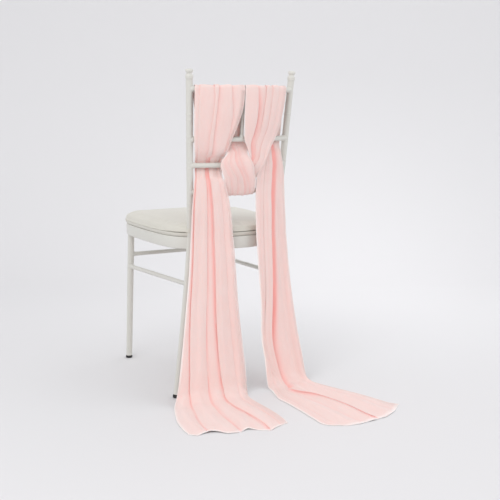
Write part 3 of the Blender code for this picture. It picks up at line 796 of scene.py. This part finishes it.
middleLimbRows = (
    (0.709, -0.0055, -0.0055, -0.058, 0.013), (0.69, 0.007, 0.007, -0.0552, 0.005),
    (0.672, 0.018, 0.019, -0.073, 0.0122), (0.656, 0.022, 0.0245, -0.079, 0.0185),
    (0.636, 0.0225, 0.025, -0.073, 0.0215), (0.622, 0.02, 0.024, -0.0665, 0.0265),
    (0.608, 0.017, 0.0215, -0.0645, 0.03), (0.595, 0.015, 0.0185, -0.061, 0.032),
)
rightLimbRows = (
    (0.597, -0.0105, -0.01, -0.043, 0.0325), (0.613, -0.003, 0.002, -0.037, 0.0385),
    (0.632, 0.006, 0.015, -0.023, 0.042), (0.656, 0.0125, 0.0225, -0.004, 0.057),
    (0.672, 0.0128, 0.0235, 0.012, 0.0625), (0.69, 0.013, 0.0215, 0.0078, 0.0712),
    (0.708, 0.0132, 0.019, -0.0005, 0.0812), (0.728, 0.014, 0.0165, -0.0095, 0.0952),
    (0.76, 0.0155, 0.0155, -0.012, 0.1108), (0.8, 0.015, 0.015, -0.0132, 0.1212),
    (0.84, 0.014, 0.014, -0.0125, 0.1285),
)
rightDownRows = (
    (0.84, -0.014, -0.014, 0.006, 0.141), (0.79, -0.0145, -0.0145, 0.02, 0.1415),
    (0.75, -0.0135, -0.0135, 0.033, 0.1395), (0.728, -0.013, -0.013, 0.04, 0.137),
)
rightTailRows = (
    (0.708, -0.006, -0.002, 0.043, 0.13), (0.688, 0.002, 0.01, 0.045, 0.129),
    (0.656, 0.0112, 0.0145, 0.045, 0.1385), (0.625, 0.0105, 0.016, 0.04, 0.146),
    (0.581, 0.0165, 0.019, 0.0355, 0.15), (0.53, 0.025, 0.026, 0.0335, 0.1516),
    (0.45, 0.037, 0.037, 0.034, 0.155), (0.35, 0.049, 0.049, 0.0382, 0.1586),
    (0.25, 0.062, 0.062, 0.0473, 0.1655), (0.15, 0.078, 0.078, 0.0472, 0.1747),
    (0.08, 0.092, 0.09, 0.0545, 0.185), (0.03, 0.108, 0.102, 0.0565, 0.1965),
    (0.0055, 0.138, 0.123, 0.054, 0.209), (0.0024, 0.195, 0.168, 0.0385, 0.224),
    (0.0024, 0.255, 0.225, 0.04, 0.246), (0.0024, 0.325, 0.285, 0.0395, 0.268),
    (0.0024, 0.39, 0.34, 0.037, 0.283), (0.0024, 0.427, 0.374, 0.0362, 0.293),
    (0.0024, 0.45, 0.398, 0.05, 0.31),
)

# The pleats of each stretch, as they are seen from behind the chair. at: places along the
# stretch, by its height or how far out it lies, or as a share of it. Each pleat: places across
# (0 left edge, 1 right edge), widths of cloth hidden (plus where the part on its left lies on
# top, minus where the part on its right does) and how deep it is.
pleats = {
    "leftFloor": {"by": 1, "at": (0.19, 0.24, 0.3, 0.38), "rows": (
        ((0.225, 0.215, 0.195, 0.17), (-0.01, -0.008, -0.004, -0.003), 0.0007),
        ((0.48, 0.475, 0.47, 0.48), (0.012, 0.012, 0.011, 0.01), 0.0008),
        ((0.685, 0.705, 0.735, 0.755), (-0.016, -0.014, -0.008, -0.003), 0.0008),
        ((0.88, 0.89, 0.9, 0.9), (0.006, 0.005, 0.004, 0.003), 0.0006))},
    "leftTail": {"by": 0, "at": (0.03, 0.1, 0.2, 0.3, 0.4, 0.5, 0.58, 0.64), "rows": (
        ((0.19, 0.14, 0.105, 0.085, 0.085, 0.08, 0.055, 0.05),
         (-0.014, -0.018, -0.018, -0.016, -0.016, -0.014, -0.01, -0.008), 0.0012),
        ((0.45, 0.39, 0.39, 0.4, 0.39, 0.385, 0.375, 0.37),
         (0.014, 0.018, 0.02, 0.02, 0.02, 0.02, 0.018, 0.012), 0.0011),
        ((0.64, 0.59, 0.57, 0.56, 0.545, 0.535, 0.52, 0.5),
         (-0.026, -0.03, -0.03, -0.034, -0.036, -0.032, -0.024, -0.014), 0.0017),
        ((0.84, 0.83, 0.82, 0.8, 0.79, 0.78, 0.78, 0.8),
         (0.006, 0.008, 0.01, 0.012, 0.012, 0.012, 0.01, 0.008), 0.0007))},
    "leftHalf": {"by": 0, "at": (0.675, 0.69, 0.728, 0.79, 0.85), "rows": (
        ((0.08,) * 5, (-0.003,) * 5, 0.0006),
        ((0.415, 0.395, 0.385, 0.375, 0.382), (-0.007, -0.008, -0.009, -0.009, -0.007), 0.0007),
        ((0.56, 0.53, 0.49, 0.44, 0.448), (0.005, 0.006, 0.009, 0.02, 0.02), 0.0009),
        ((0.93, 0.91, 0.881, 0.815, 0.712), (0.005, 0.008, 0.011, 0.012, 0.012), 0.0008))},
    "leftDown": {"by": -1, "at": (0.0, 0.3, 0.7, 1.0), "rows": (
        ((0.09, 0.12, 0.12, 0.1), (-0.003, -0.006, -0.008, -0.006), 0.0012),
        ((0.38, 0.36, 0.3, 0.22), (-0.007, -0.01, -0.01, -0.008), 0.0014),
        ((0.45, 0.5, 0.5, 0.42), (0.018, 0.016, 0.012, 0.01), 0.0016),
        ((0.7, 0.75, 0.78, 0.74), (0.012, 0.012, 0.01, 0.008), 0.0014))},
    "middleLimb": {"by": 0, "at": (0.6, 0.636, 0.665, 0.69, 0.709), "rows": (
        ((0.22, 0.15, 0.08, 0.06, 0.05), (0.004, 0.005, 0.005, 0.004, 0.003), 0.0006),
        ((0.42, 0.36, 0.26, 0.17, 0.14), (0.006, 0.006, 0.006, 0.005, 0.004), 0.0007),
        ((0.59, 0.56, 0.46, 0.31, 0.24), (0.012, 0.014, 0.014, 0.012, 0.008), 0.001),
        ((0.76, 0.7, 0.62, 0.5, 0.44), (0.004, 0.005, 0.006, 0.006, 0.004), 0.0006))},
    "underFour": {"by": -1, "at": (0.0, 1.0), "rows": (
        ((0.16, 0.2), (0.004, 0.006), 0.0012),
        ((0.32, 0.4), (0.006, 0.006), 0.0012),
        ((0.66, 0.6), (0.01, 0.008), 0.0014),
        ((0.84, 0.8), (0.006, 0.006), 0.0012))},
    "rightLimb": {"by": 0, "at": (0.6, 0.65, 0.683, 0.71, 0.735, 0.78, 0.84), "rows": (
        ((0.1, 0.06, 0.05, 0.15, 0.264, 0.3, 0.3),
         (0.003, 0.003, 0.008, 0.014, 0.016, 0.006, 0.002), 0.003),
        ((0.25, 0.22, 0.24, 0.34, 0.42, 0.45, 0.47),
         (-0.003, -0.003, -0.003, -0.003, -0.003, -0.004, -0.014), 0.0008),
        ((0.55, 0.5, 0.5, 0.56, 0.62, 0.64, 0.64),
         (-0.006, -0.006, -0.006, -0.005, -0.005, -0.004, -0.003), 0.0007),
        ((0.8,) * 7, (0.004,) * 7, 0.0006))},
    "rightDown": {"by": -1, "at": (0.0, 0.5, 1.0), "rows": (
        ((0.28, 0.22, 0.16), (0.002, 0.008, 0.008), 0.0012),
        ((0.48, 0.42, 0.32), (-0.014, -0.01, -0.008), 0.0014),
        ((0.64, 0.6, 0.58), (-0.003, -0.008, -0.012), 0.0014),
        ((0.8, 0.8, 0.82), (0.003, 0.006, 0.006), 0.0012))},
    "rightTail": {"by": 0, "at": (0.03, 0.06, 0.12, 0.22, 0.31, 0.44, 0.5, 0.58, 0.65, 0.69), "rows": (
        ((0.12, 0.11, 0.09, 0.08, 0.08, 0.1, 0.12, 0.13, 0.14, 0.14),
         (0.006, 0.006, 0.006, 0.005, 0.005, 0.006, 0.008, 0.008, 0.008, 0.006), 0.0007),
        ((0.275, 0.211, 0.17, 0.2, 0.27, 0.3, 0.31, 0.32, 0.33, 0.33),
         (0.014, 0.016, 0.016, 0.012, 0.01, 0.01, 0.01, 0.01, 0.01, 0.008), 0.0008),
        ((0.31, 0.28, 0.25, 0.3, 0.385, 0.44, 0.46, 0.495, 0.51, 0.52),
         (0.012, 0.016, 0.02, 0.022, 0.024, 0.026, 0.028, 0.03, 0.024, 0.014), 0.0028),
        ((0.8, 0.8, 0.8, 0.8, 0.81, 0.81, 0.81, 0.8, 0.8, 0.8),
         (0.006, 0.008, 0.008, 0.008, 0.008, 0.008, 0.008, 0.008, 0.006, 0.005), 0.0007))},
    "rightFloor": {"by": 1, "at": (0.16, 0.2, 0.27, 0.34, 0.42, 0.5), "rows": (
        ((0.1, 0.1, 0.1, 0.11, 0.11, 0.11), (0.005, 0.004, 0.004, 0.004, 0.004, 0.003), 0.0006),
        ((0.24, 0.28, 0.32, 0.35, 0.36, 0.36), (0.008, 0.008, 0.008, 0.006, 0.005, 0.004), 0.0007),
        ((0.36, 0.42, 0.52, 0.56, 0.54, 0.51), (-0.002, -0.01, -0.014, -0.013, -0.01, -0.006), 0.0008),
        ((0.82, 0.83, 0.84, 0.85, 0.86, 0.86), (0.006, 0.006, 0.006, 0.006, 0.006, 0.004), 0.0006))},
}
# The deeper colour beside each pleat, painted shade that also stands for the overlapping sheer layers: how
# far it reaches and how strong it is (low down, high up)
bands = {
    "leftFloor": ((0.004, 0.4), (0.005, 0.5), (0.006, 0.6), (0.004, 0.15)),
    "leftTail": ((0.004, 0.6, 0.75), (0.004, 0.6, 0.5), (0.007, 0.65, 0.9), (0.003, 0.03)),
    "leftHalf": ((0.003, 0.0), (0.005, 0.15), (0.008, 0.28), (0.006, 0.18)),
    "leftDown": ((0.003, 0.2), (0.003, 0.3), (0.004, 0.4), (0.003, 0.3)),
    "middleLimb": ((0.009, 0.14), (0.01, 0.18), (0.014, 0.32), (0.01, 0.2)),
    "underFour": ((0.003, 0.2), (0.003, 0.3), (0.003, 0.4), (0.003, 0.3)),
    "rightLimb": ((0.013, 0.6), (0.006, 0.1), (0.007, 0.12), (0.003, 0.0)),
    "rightDown": ((0.003, 0.2), (0.003, 0.3), (0.003, 0.3), (0.003, 0.2)),
    "rightTail": ((0.004, 0.05), (0.005, 0.1), (0.0145, 0.5, 2.6), (0.004, 0.03)),
    "rightFloor": ((0.003, 0.1), (0.006, 0.15), (0.012, 0.8), (0.004, 0.08)),
}
facedAway = ("middleLimb", "underFour", "rightTail", "rightFloor")

# Softer troughs (plus) and ridges (minus): place across at the start, half way and end of the
# stretch, depth and reach as a share of the width
softFolds = {
    "leftFloor": (
        (0.12, 0.11, 0.09, -0.006, 0.06), (0.31, 0.32, 0.33, -0.007, 0.07),
        (0.56, 0.56, 0.56, -0.007, 0.07), (0.78, 0.78, 0.78, -0.005, 0.08),
    ),
    "leftTail": (
        (0.24, 0.22, 0.2, 0.003, 0.06), (0.3, 0.29, 0.28, -0.002, 0.05), (0.68, 0.64, 0.62, -0.0035, 0.06),
        (0.93, 0.92, 0.9, -0.002, 0.05),
    ),
    "leftHalf": (
        (0.22, 0.22, 0.22, 0.0016, 0.07), (0.7, 0.64, 0.6, -0.002, 0.08),
    ),
    "middleLimb": (
        (0.5, 0.5, 0.2, -0.0018, 0.06), (0.86, 0.84, 0.8, 0.0014, 0.05),
    ),
    "rightLimb": (
        (0.62, 0.4, 0.2, -0.002, 0.07), (0.7, 0.66, 0.7, 0.0016, 0.07),
    ),
    "rightTail": (
        (0.68, 0.7, 0.72, 0.003, 0.06), (0.9, 0.9, 0.9, -0.002, 0.06), (0.42, 0.4, 0.44, -0.0025, 0.06),
    ),
    "rightFloor": (
        (0.2, 0.22, 0.24, -0.006, 0.07), (0.45, 0.47, 0.5, -0.007, 0.07), (0.72, 0.74, 0.76, -0.005, 0.07),
    ),
}

# How far each hem lies beyond the straight line between its corners, and how far it lifts
hems = {
    "left": {
        "beyond": (
            (0.0, 0.0), (0.06, 0.014), (0.14, 0.004), (0.22, 0.001), (0.28, 0.006), (0.34, 0.024),
            (0.46, 0.026), (0.57, 0.01), (0.67, 0.031), (0.75, 0.039), (0.87, 0.017), (1.0, 0.0),
        ),
        "lift": (
            (0.0, 0.0), (0.08, 0.0), (0.14, 0.002), (0.2, 0.004), (0.25, 0.003), (0.32, 0.0), (0.48, 0.0),
            (0.57, 0.003), (0.64, 0.0), (1.0, 0.0),
        ),
    },
    "right": {
        "beyond": (
            (0.0, 0.0), (0.15, 0.028), (0.29, 0.04), (0.48, 0.045), (0.65, 0.047), (0.81, 0.033),
            (1.0, 0.0),
        ),
        "lift": (
            (0.0, 0.0), (0.35, 0.0), (0.45, 0.002), (0.55, 0.0), (1.0, 0.0),
        ),
    },
}
hemReach = {"beyond": 0.09, "lift": 0.045}


def wrapRows(railHeight, start, end, count, edgesStart, edgesEnd):
    # sections round a rail, in degrees: 0 points out behind, 90 up, 180 to the seat
    rows = []
    radius = sash["wrapRadius"]
    for k in range(count + 1):
        share = k / count
        turn = math.radians(start + (end - start) * share)
        out = radius * math.cos(turn)
        left, right = (mix(a, b, share) for a, b in zip(edgesStart, edgesEnd))
        rows.append((railHeight + radius * math.sin(turn), out, out, left, right))
    return rows


def sashStations():
    top, four = chair["rails"]["rail_top"], chair["rails"]["rail_four"]
    stretches = (
        ("leftTail", leftTailRows),
        ("leftHalf", leftHalfRows),
        ("leftDown", wrapRows(top, 0, 180, 6, (-0.1505, -0.0140), (-0.1450, -0.0120))),
        ("leftDown", leftDownRows),
        ("middleLimb", middleLimbRows),
        ("underFour", wrapRows(four, -10, -180, 6, (-0.0560, 0.0330), (-0.0470, 0.0300))),
        ("rightLimb", rightLimbRows),
        ("rightDown", wrapRows(top, 0, 180, 6, (-0.0124, 0.1330), (-0.0060, 0.1390))),
        ("rightDown", rightDownRows),
        ("rightTail", rightTailRows),
    )
    names, values = [], []
    for name, rows in stretches:
        for row in rows:
            names.append(name.replace("Tail", "Floor") if row[0] < 0.012 else name)
            values.append(np.array(row))
    last = len(values) - 1
    stations = []
    for i in range(last):
        a, b, c, d = (values[min(max(i + k, 0), last)] for k in (-1, 0, 1, 2))
        gap = math.hypot(c[0] - b[0], (c[1] + c[2] - b[1] - b[2]) / 2)
        step = sash["fineStep"] if min(b[0], c[0]) > 0.55 else sash["coarseStep"]
        parts = max(1, round(gap / step))
        for k in range(parts):
            stations.append((names[i], spline(a, b, c, d, k / parts)))
    stations.append((names[last], values[last]))
    return [name for name, _ in stations], np.array([row for _, row in stations])


def smoothAlong(values):
    # average over the neighbours, so that one stretch flows into the next
    values, reach = np.array(values, float), sash["smooth"]
    kernel = np.hanning(2 * reach + 3)[1:-1]
    kernel /= kernel.sum()
    padded = np.concatenate([np.repeat(values[:1], reach, 0), values, np.repeat(values[-1:], reach, 0)])
    return np.stack([np.convolve(padded[:, k], kernel, "valid") for k in range(values.shape[1])], 1)


def stretchShares(names):
    spans = {}
    for i, name in enumerate(names):
        first, _ = spans.get(name, (i, i))
        spans[name] = (first, i)
    return [(i - spans[name][0]) / max(1, spans[name][1] - spans[name][0]) for i, name in enumerate(names)]


def railCloseness(z):
    nearest = min(abs(z - railHeight) for railHeight in chair["rails"].values())
    return 1 - ease((nearest - 0.012) / 0.05)


def onFloor(z):
    return 1 - ease((z - 0.004) / sash["floorReach"])


def pleatTable(names, rows, shares):
    # place, hidden width and depth of each pleat at each station, for the side that faces out
    places, hidden, depths, soft, facing = [], [], [], [], []
    for i, name in enumerate(names):
        z, outLeft, outRight, left, right = rows[i]
        table = pleats[name]
        at = {0: z, 1: (outLeft + outRight) / 2, -1: shares[i]}[table["by"]]
        side = -1 if name in facedAway else 1
        close = railCloseness(z)
        floor = onFloor(z)
        line = []
        for across, tucked, depth in table["rows"]:
            u = float(np.interp(at, table["at"], across))
            tuck = float(np.interp(at, table["at"], tucked))
            depth = mix(depth, min(depth, sash["railDepth"]), close)
            depth = mix(depth, min(depth, sash["floorDepth"]), floor)
            if side < 0:
                u -= tuck / (right - left)
                tuck = -tuck
            line.append((u, tuck, depth))
        for found, values in zip((places, hidden, depths), zip(*line)):
            found.append(values)
        soft.append([(float(np.interp(shares[i], (0.0, 0.5, 1.0), along)), deep * (1 - 0.75 * close), reach)
                     for *along, deep, reach in softFolds.get(name, ())])
        facing.append([side])
    return (*(smoothAlong(found) for found in (places, hidden, depths)), soft, smoothAlong(facing)[:, 0])


def bandTable(names, rows):
    # reach and strength of the painted shade band beside each pleat at each station
    reaches, strengths = [], []
    for name, row in zip(names, rows):
        high = min(1.0, max(0.0, (row[0] - 0.10) / 0.22))
        reaches.append([reach for reach, *_ in bands[name]])
        strengths.append([mix(strong[0], strong[-1], high) for _, *strong in bands[name]])
    return smoothAlong(reaches), smoothAlong(strengths)


def sectionCurve(width, places, hidden, depths, swell):
    # one folded section as rows of (across, height, layer), always with the same number of columns; layer is
    # the painted fold shade, full on the tucked part and turnShade on the turned edges
    count = len(places)
    bounds = [0.0] + [p * width for p in places] + [width]
    tuck, amount = [], []
    for k in range(count):
        room = (bounds[k + 1] - bounds[k]) if hidden[k] > 0 else (bounds[k + 2] - bounds[k + 1])
        size = min(abs(hidden[k]), 0.85 * room)
        tuck.append(size)
        amount.append(depths[k] * ease(size / sash["fullPleat"]))
    ends = []
    for j in range(count + 1):
        startLevel = 0.0 if j == 0 else (-amount[j - 1] if hidden[j - 1] > 0 else amount[j - 1])
        endLevel = 0.0 if j == count else (amount[j] if hidden[j] > 0 else -amount[j])
        ends.append((startLevel, endLevel))

    def lobeLevel(j, x):
        wide = max(bounds[j + 1] - bounds[j], 1e-6)
        t = min(1.0, max(0.0, (x - bounds[j]) / wide))
        low, high = ends[j]
        rise = swell * min(1.0, wide / 0.03) * math.sin(math.pi * t) ** 0.8
        return mix(low, high, 0.35 * t + 0.65 * ease(t)) + rise

    def level(j, x):
        if j > 0 and x < bounds[j] and hidden[j - 1] > 0:
            return lobeLevel(j - 1, x) - 2 * amount[j - 1]
        if j < count and x > bounds[j + 1] and hidden[j] < 0:
            return lobeLevel(j + 1, x) - 2 * amount[j]
        return lobeLevel(j, x)

    points = []
    columns = sash["bodyColumns"]
    for j in range(count + 1):
        start, stop = bounds[j], bounds[j + 1]
        if j > 0:
            start += -tuck[j - 1] if hidden[j - 1] > 0 else amount[j - 1] / 2
        if j < count:
            stop += -amount[j] / 2 if hidden[j] > 0 else tuck[j]
        for k in range(columns):
            x = start + (stop - start) * k / (columns - 1)
            points.append((x, level(j, x), 0.0))
        if j == count:
            break
        # the turn back, the tucked part and the turn forward again
        over = j if hidden[j] > 0 else j + 1
        half = amount[j] / 2
        topFirst = hidden[j] > 0
        away, back = (stop, bounds[j + 1] - tuck[j]) if topFirst else (stop, bounds[j + 1] + half)
        for end, sign, above in ((away, 1, 0 if topFirst else 2), (back, -1, 1)):
            if sign < 0:
                for k in range(4):
                    x = away + (back - away) * k / 3
                    points.append((x, lobeLevel(over, x) - amount[j], 1.0))
            first = lobeLevel(over, end) - above * amount[j]
            for sweep in (math.pi * 0.25, math.pi * 0.5, math.pi * 0.75):
                turn = (1 - math.cos(sweep)) * half
                points.append((end + sign * half * math.sin(sweep),
                               first + (-turn if topFirst else turn), sash["turnShade"]))
    return np.array(points)


def clearOfRails(out, z):
    least = chair["railRadius"] + sash["railGap"]
    for railHeight in chair["rails"].values():
        away = math.hypot(out, z - railHeight)
        if away < least:
            return out * least / away, railHeight + (z - railHeight) * least / away
    return out, z


def seenShade(x, places, hidden, reaches, strengths):
    # a band of painted shade: deeper colour on the covered side of each pleat, where the lobe on top shades
    # it and the sheer layers overlap
    shade = 0.0
    for place, tuck, reach, strength in zip(places, hidden, reaches, strengths):
        past = (x - place) * (1 if tuck > 0 else -1)
        if past >= -0.0005:
            shade += strength * math.exp(-max(0.0, past / reach) ** 2)
    return min(1.0, shade)


def sashSurface():
    names, rows = sashStations()
    shares = stretchShares(names)
    places, hidden, depths, soft, facing = pleatTable(names, rows, shares)
    reaches, strengths = bandTable(names, rows)
    middle = np.stack([rows[:, 0], (rows[:, 1] + rows[:, 2]) / 2], 1)
    heading = np.gradient(middle, axis=0)
    heading /= np.linalg.norm(heading, axis=1)[:, None]
    steps = np.linalg.norm(np.diff(middle, axis=0), axis=1)
    length = np.concatenate([[0.0], np.cumsum(steps)])
    surface, shading, sheer = [], [], []
    for i, name in enumerate(names):
        z, outLeft, outRight, left, right = rows[i]
        width = right - left
        close = railCloseness(z)
        floor = onFloor(z)
        fromHem = min(length[i], length[-1] - length[i])
        flatter = 1 - math.exp(-fromHem / sash["hemFlat"])
        swell = mix(sash["swellFree"], sash["swellRail"], close) * (1 - floor) \
            + sash["swellFloor"] * floor * flatter
        curve = sectionCurve(width, places[i], hidden[i], depths[i], swell * facing[i])
        across = np.clip(curve[:, 0] / width, 0, 1)
        relief = np.zeros(len(curve))
        for place, deep, reach in soft[i]:
            relief -= deep * flatter * np.exp(-((across - place) / reach) ** 2)
        rise = curve[:, 1] + relief * facing[i]
        toEdge = np.minimum(np.minimum(across, 1 - across) * width, fromHem)
        settles = (z - 0.0012) * np.exp(-toEdge / sash["settleReach"]) * floor
        line, shades, thins = [], [], []
        sheerness = 1 if name in ("leftTail", "leftHalf") else 0.3
        seenPlaces = [p - (0 if facing[i] > 0 else h / width) for p, h in zip(places[i], hidden[i])]
        seenHidden = hidden[i] * (1 if facing[i] > 0 else -1)
        for u, x, lift, layer, settle in zip(across, curve[:, 0], rise, curve[:, 2], settles):
            out = outLeft + (outRight - outLeft) * u + heading[i][0] * lift
            height = z - heading[i][1] * lift - settle
            out, height = clearOfRails(out, max(sash["lowest"], height))
            line.append((left + x, out, height))
            shade = seenShade(x, np.array(seenPlaces) * width, seenHidden, reaches[i], strengths[i])
            shades.append(max(shade, layer))
            thins.append(ease((u - sash["sheerFrom"]) / sash["sheerOver"]) * sheerness)
        surface.append(line)
        shading.append(shades)
        sheer.append(thins)
    surface = np.array(surface)
    for side, fromHem in (("left", length), ("right", length[-1] - length)):
        for i in range(len(names)):
            across = (surface[i, :, 0] - rows[i][3]) / (rows[i][4] - rows[i][3])
            for key, axis in (("beyond", 1), ("lift", 2)):
                at, by = zip(*hems[side][key])
                surface[i, :, axis] += np.interp(across, at, by) * ease(1 - fromHem[i] / hemReach[key])
    placed = np.array([[behindBack(*point) for point in line] for line in surface])
    return placed, np.array(shading), np.array(sheer), length


def sheetNormals(surface):
    normal = np.cross(np.gradient(surface, axis=0), np.gradient(surface, axis=1))
    return normal / np.maximum(np.linalg.norm(normal, axis=2), 1e-9)[:, :, None]


def sheetPiece(name, surface, material, shading, sheer, length):
    # a thin closed sheet on a grid of points, thicker at its rolled hem
    rowCount, columnCount = surface.shape[:2]
    normal = sheetNormals(surface)
    widths = np.linalg.norm(np.diff(surface, axis=1), axis=2)
    fromLeft = np.concatenate([np.zeros((rowCount, 1)), np.cumsum(widths, 1)], 1)
    fromRight = fromLeft[:, -1:] - fromLeft
    fromEnd = np.minimum(length, length[-1] - length)[:, None]
    toEdge = np.minimum(np.minimum(fromLeft, fromRight), fromEnd)
    hem = np.clip(1.5 - toEdge / sash["hemWidth"], 0, 1)
    thick = mix(sash["thickness"], sash["hemThickness"], hem)
    bm = bmesh.new()
    flat = bm.loops.layers.uv.new("flatCut")
    sides = []
    for sign in (1, -1):
        points = surface + normal * (sign * thick / 2)[:, :, None]
        points[:, :, 2] = np.maximum(points[:, :, 2], 0.0002)
        sides.append([[bm.verts.new(p) for p in line] for line in points])
    for grid, flip in ((sides[0], False), (sides[1], True)):
        for i in range(rowCount - 1):
            for j in range(columnCount - 1):
                quad = [(i, j), (i + 1, j), (i + 1, j + 1), (i, j + 1)]
                if flip:
                    quad.reverse()
                face = bm.faces.new([grid[m][n] for m, n in quad])
                for loop, (m, n) in zip(face.loops, quad):
                    loop[flat].uv = (fromLeft[m, n], length[m])
    rim = [(i, 0) for i in range(rowCount)]
    rim += [(rowCount - 1, j) for j in range(1, columnCount)]
    rim += [(i, columnCount - 1) for i in range(rowCount - 2, -1, -1)]
    rim += [(0, j) for j in range(columnCount - 2, 0, -1)]
    for (i, j), (m, n) in zip(rim, rim[1:] + rim[:1]):
        bm.faces.new((sides[0][i][j], sides[1][i][j], sides[1][m][n], sides[0][m][n]))
    piece = finishPiece(name, meshFrom(bm), material, ["sash"], 75)
    # the hem's painted highlight: near white at the rolled hem, full low down where it lies on the floor,
    # weaker high up
    lowDown = 1 - np.clip((surface[:, :, 2] - sash["hemFullBelow"]) / sash["hemFadesOver"], 0, 1)
    hem *= mix(sash["hemHighUp"], 1, lowDown)
    for label, values in (("foldShade", shading), ("hemShade", hem), ("sheerShade", sheer)):
        layer = piece.data.attributes.new(label, "FLOAT", "POINT")
        layer.data.foreach_set("value", np.concatenate([values.ravel(), values.ravel()]).astype(np.float32))
    return piece


surface, shading, sheer, length = sashSurface()
sashCloth = sheetPiece("sashCloth", surface, chiffonCloth, shading, sheer, length)
print("sash made,", surface.shape[:2], "path", round(float(length[-1]), 3))


# Hem stitches: Geometry Nodes lay short threads along a line just inside the edges

def stitchTree():
    tree, given, result = newGroup(
        "hemStitches", "Geometry",
        [("Geometry", "Geometry"), ("Pitch", "Float"), ("Stitch Length", "Float"),
         ("Thread Radius", "Float"), ("Thread", "Material")], [("Geometry", "Geometry")])
    curve = addNode(tree, "GeometryNodeMeshToCurve", Mesh=given["Geometry"])
    spread = addNode(tree, "GeometryNodeResampleCurve", {"mode": "LENGTH"},
                     Curve=curve.outputs["Curve"], Length=given["Pitch"])
    ball = addNode(tree, "GeometryNodeMeshUVSphere", Segments=5, Rings=3, Radius=1.0)
    size = addNode(tree, "ShaderNodeCombineXYZ", X=given["Thread Radius"], Y=given["Thread Radius"],
                   Z=times(tree, given["Stitch Length"], 0.5))
    tangent = tree.nodes.new("GeometryNodeInputTangent")
    turn = addNode(tree, "FunctionNodeAlignRotationToVector", {"axis": "Z"},
                   Vector=tangent.outputs["Tangent"])
    place = addNode(tree, "GeometryNodeInstanceOnPoints", Points=spread.outputs["Curve"],
                    Instance=ball.outputs["Mesh"], Rotation=turn.outputs["Rotation"], Scale=size.outputs[0])
    return closeTree(tree, place.outputs["Instances"], given["Thread"], result)


def insetLine(surface, fromRight):
    # a line the stitch inset in from one long edge, on the side of the cloth that faces out
    points = []
    normal = sheetNormals(surface)
    for i, line in enumerate(surface):
        order = list(range(len(line)))[::-1 if fromRight else 1]
        walked = 0.0
        for a, b in zip(order, order[1:]):
            step = float(np.linalg.norm(line[b] - line[a]))
            if walked + step >= sash["stitchInset"]:
                point = line[a] + (line[b] - line[a]) * (sash["stitchInset"] - walked) / step
                points.append(point + normal[i, a] * (sash["thickness"] / 2 + sash["stitchProud"]))
                break
            walked += step
    return points


stitchMaker = stitchTree()
for name, fromRight in (("hemStitches_left", False), ("hemStitches_right", True)):
    mesh = grownMesh(name + "Line", insetLine(surface, fromRight), stitchMaker,
                     {"Pitch": sash["stitchPitch"], "Stitch Length": sash["stitchLength"],
                      "Thread Radius": sash["threadRadius"], "Thread": thread})
    finishPiece(name, mesh, thread, [], 180)
print("hem stitched")


# Floor, light and camera

view = {"place": (-1.1687, -2.2739, 0.8103), "turn": 28.26, "tip": 9.063, "lens": 63.449}
studio = {"paper": (0.74, 0.735, 0.745), "air": (0.98, 0.985, 1.0), "airStrength": 0.95, "bend": 1.4}


def makeStage():
    # one sheet of paper: flat under the chair, curved up into a wall behind it
    bm = bmesh.new()
    bend = studio["bend"]
    profile = [(-4.0, 0.0), (bend, 0.0)]
    profile += [(bend + bend * math.sin(a), bend - bend * math.cos(a))
                for a in [math.pi / 2 * k / 16 for k in range(1, 17)]]
    profile.append((2 * bend, 5.0))
    lines = [[bm.verts.new((x, y, z)) for y, z in profile] for x in (-7, 7)]
    for k in range(len(profile) - 1):
        bm.faces.new((lines[0][k], lines[1][k], lines[1][k + 1], lines[0][k + 1]))
    bmesh.ops.rotate(bm, verts=bm.verts, matrix=Vector((0, 1, 0)).rotation_difference(
        Vector((math.sin(math.radians(view["turn"])), math.cos(math.radians(view["turn"])), 0))).to_matrix())
    mesh = meshFrom(bm)
    mesh.shade_smooth()
    sweep = addObject("studioSweep", mesh)
    material, tree, shader = startMaterial("studioPaper")
    dress(tree, shader, {"Base Color": studio["paper"], "Roughness": 0.75})
    mesh.materials.append(material)


lamps = (
    # name, place, aimed at, size, power, colour
    ("keySoftbox", (-2.4, -1.6, 2.6), (0, 0, 0.45), 2.0, 30, (1.0, 0.985, 0.97)),
    ("fillSoftbox", (2.4, -2.2, 1.8), (0, 0, 0.4), 2.4, 12, (0.98, 0.99, 1.0)),
    ("wallSoftbox", (0.8, 0.9, 3.0), (1.3, 2.6, 0.9), 2.4, 4, (1.0, 1.0, 1.0)),
    ("floorSoftbox", (1.05, 0.90, 1.15), (0.98, 0.83, 0.0), 0.8, 3.5, (1.0, 0.995, 1.0)),
)


def makeLights():
    for name, place, target, size, power, colour in lamps:
        data = bpy.data.lights.new(name, "AREA")
        data.size = size
        data.energy = power
        data.color = colour
        lamp = addObject(name, data)
        lamp.location = place
        lamp.rotation_euler = (Vector(target) - Vector(place)).to_track_quat("-Z", "Y").to_euler()
    world = bpy.data.worlds.new("studioAir")
    bpy.context.scene.world = world
    world.use_nodes = True
    sky = world.node_tree.nodes["Background"]
    sky.inputs["Color"].default_value = (*studio["air"], 1)
    sky.inputs["Strength"].default_value = studio["airStrength"]


def makeCamera():
    data = bpy.data.cameras.new("photoCamera")
    data.lens = view["lens"]
    data.sensor_width = 36
    camera = addObject("photoCamera", data)
    camera.location = Vector(view["place"]) + shift
    camera.rotation_euler = (math.radians(90 - view["tip"]), 0, -math.radians(view["turn"]))
    bpy.context.scene.camera = camera


makeStage()
makeLights()
makeCamera()
print("studio made")
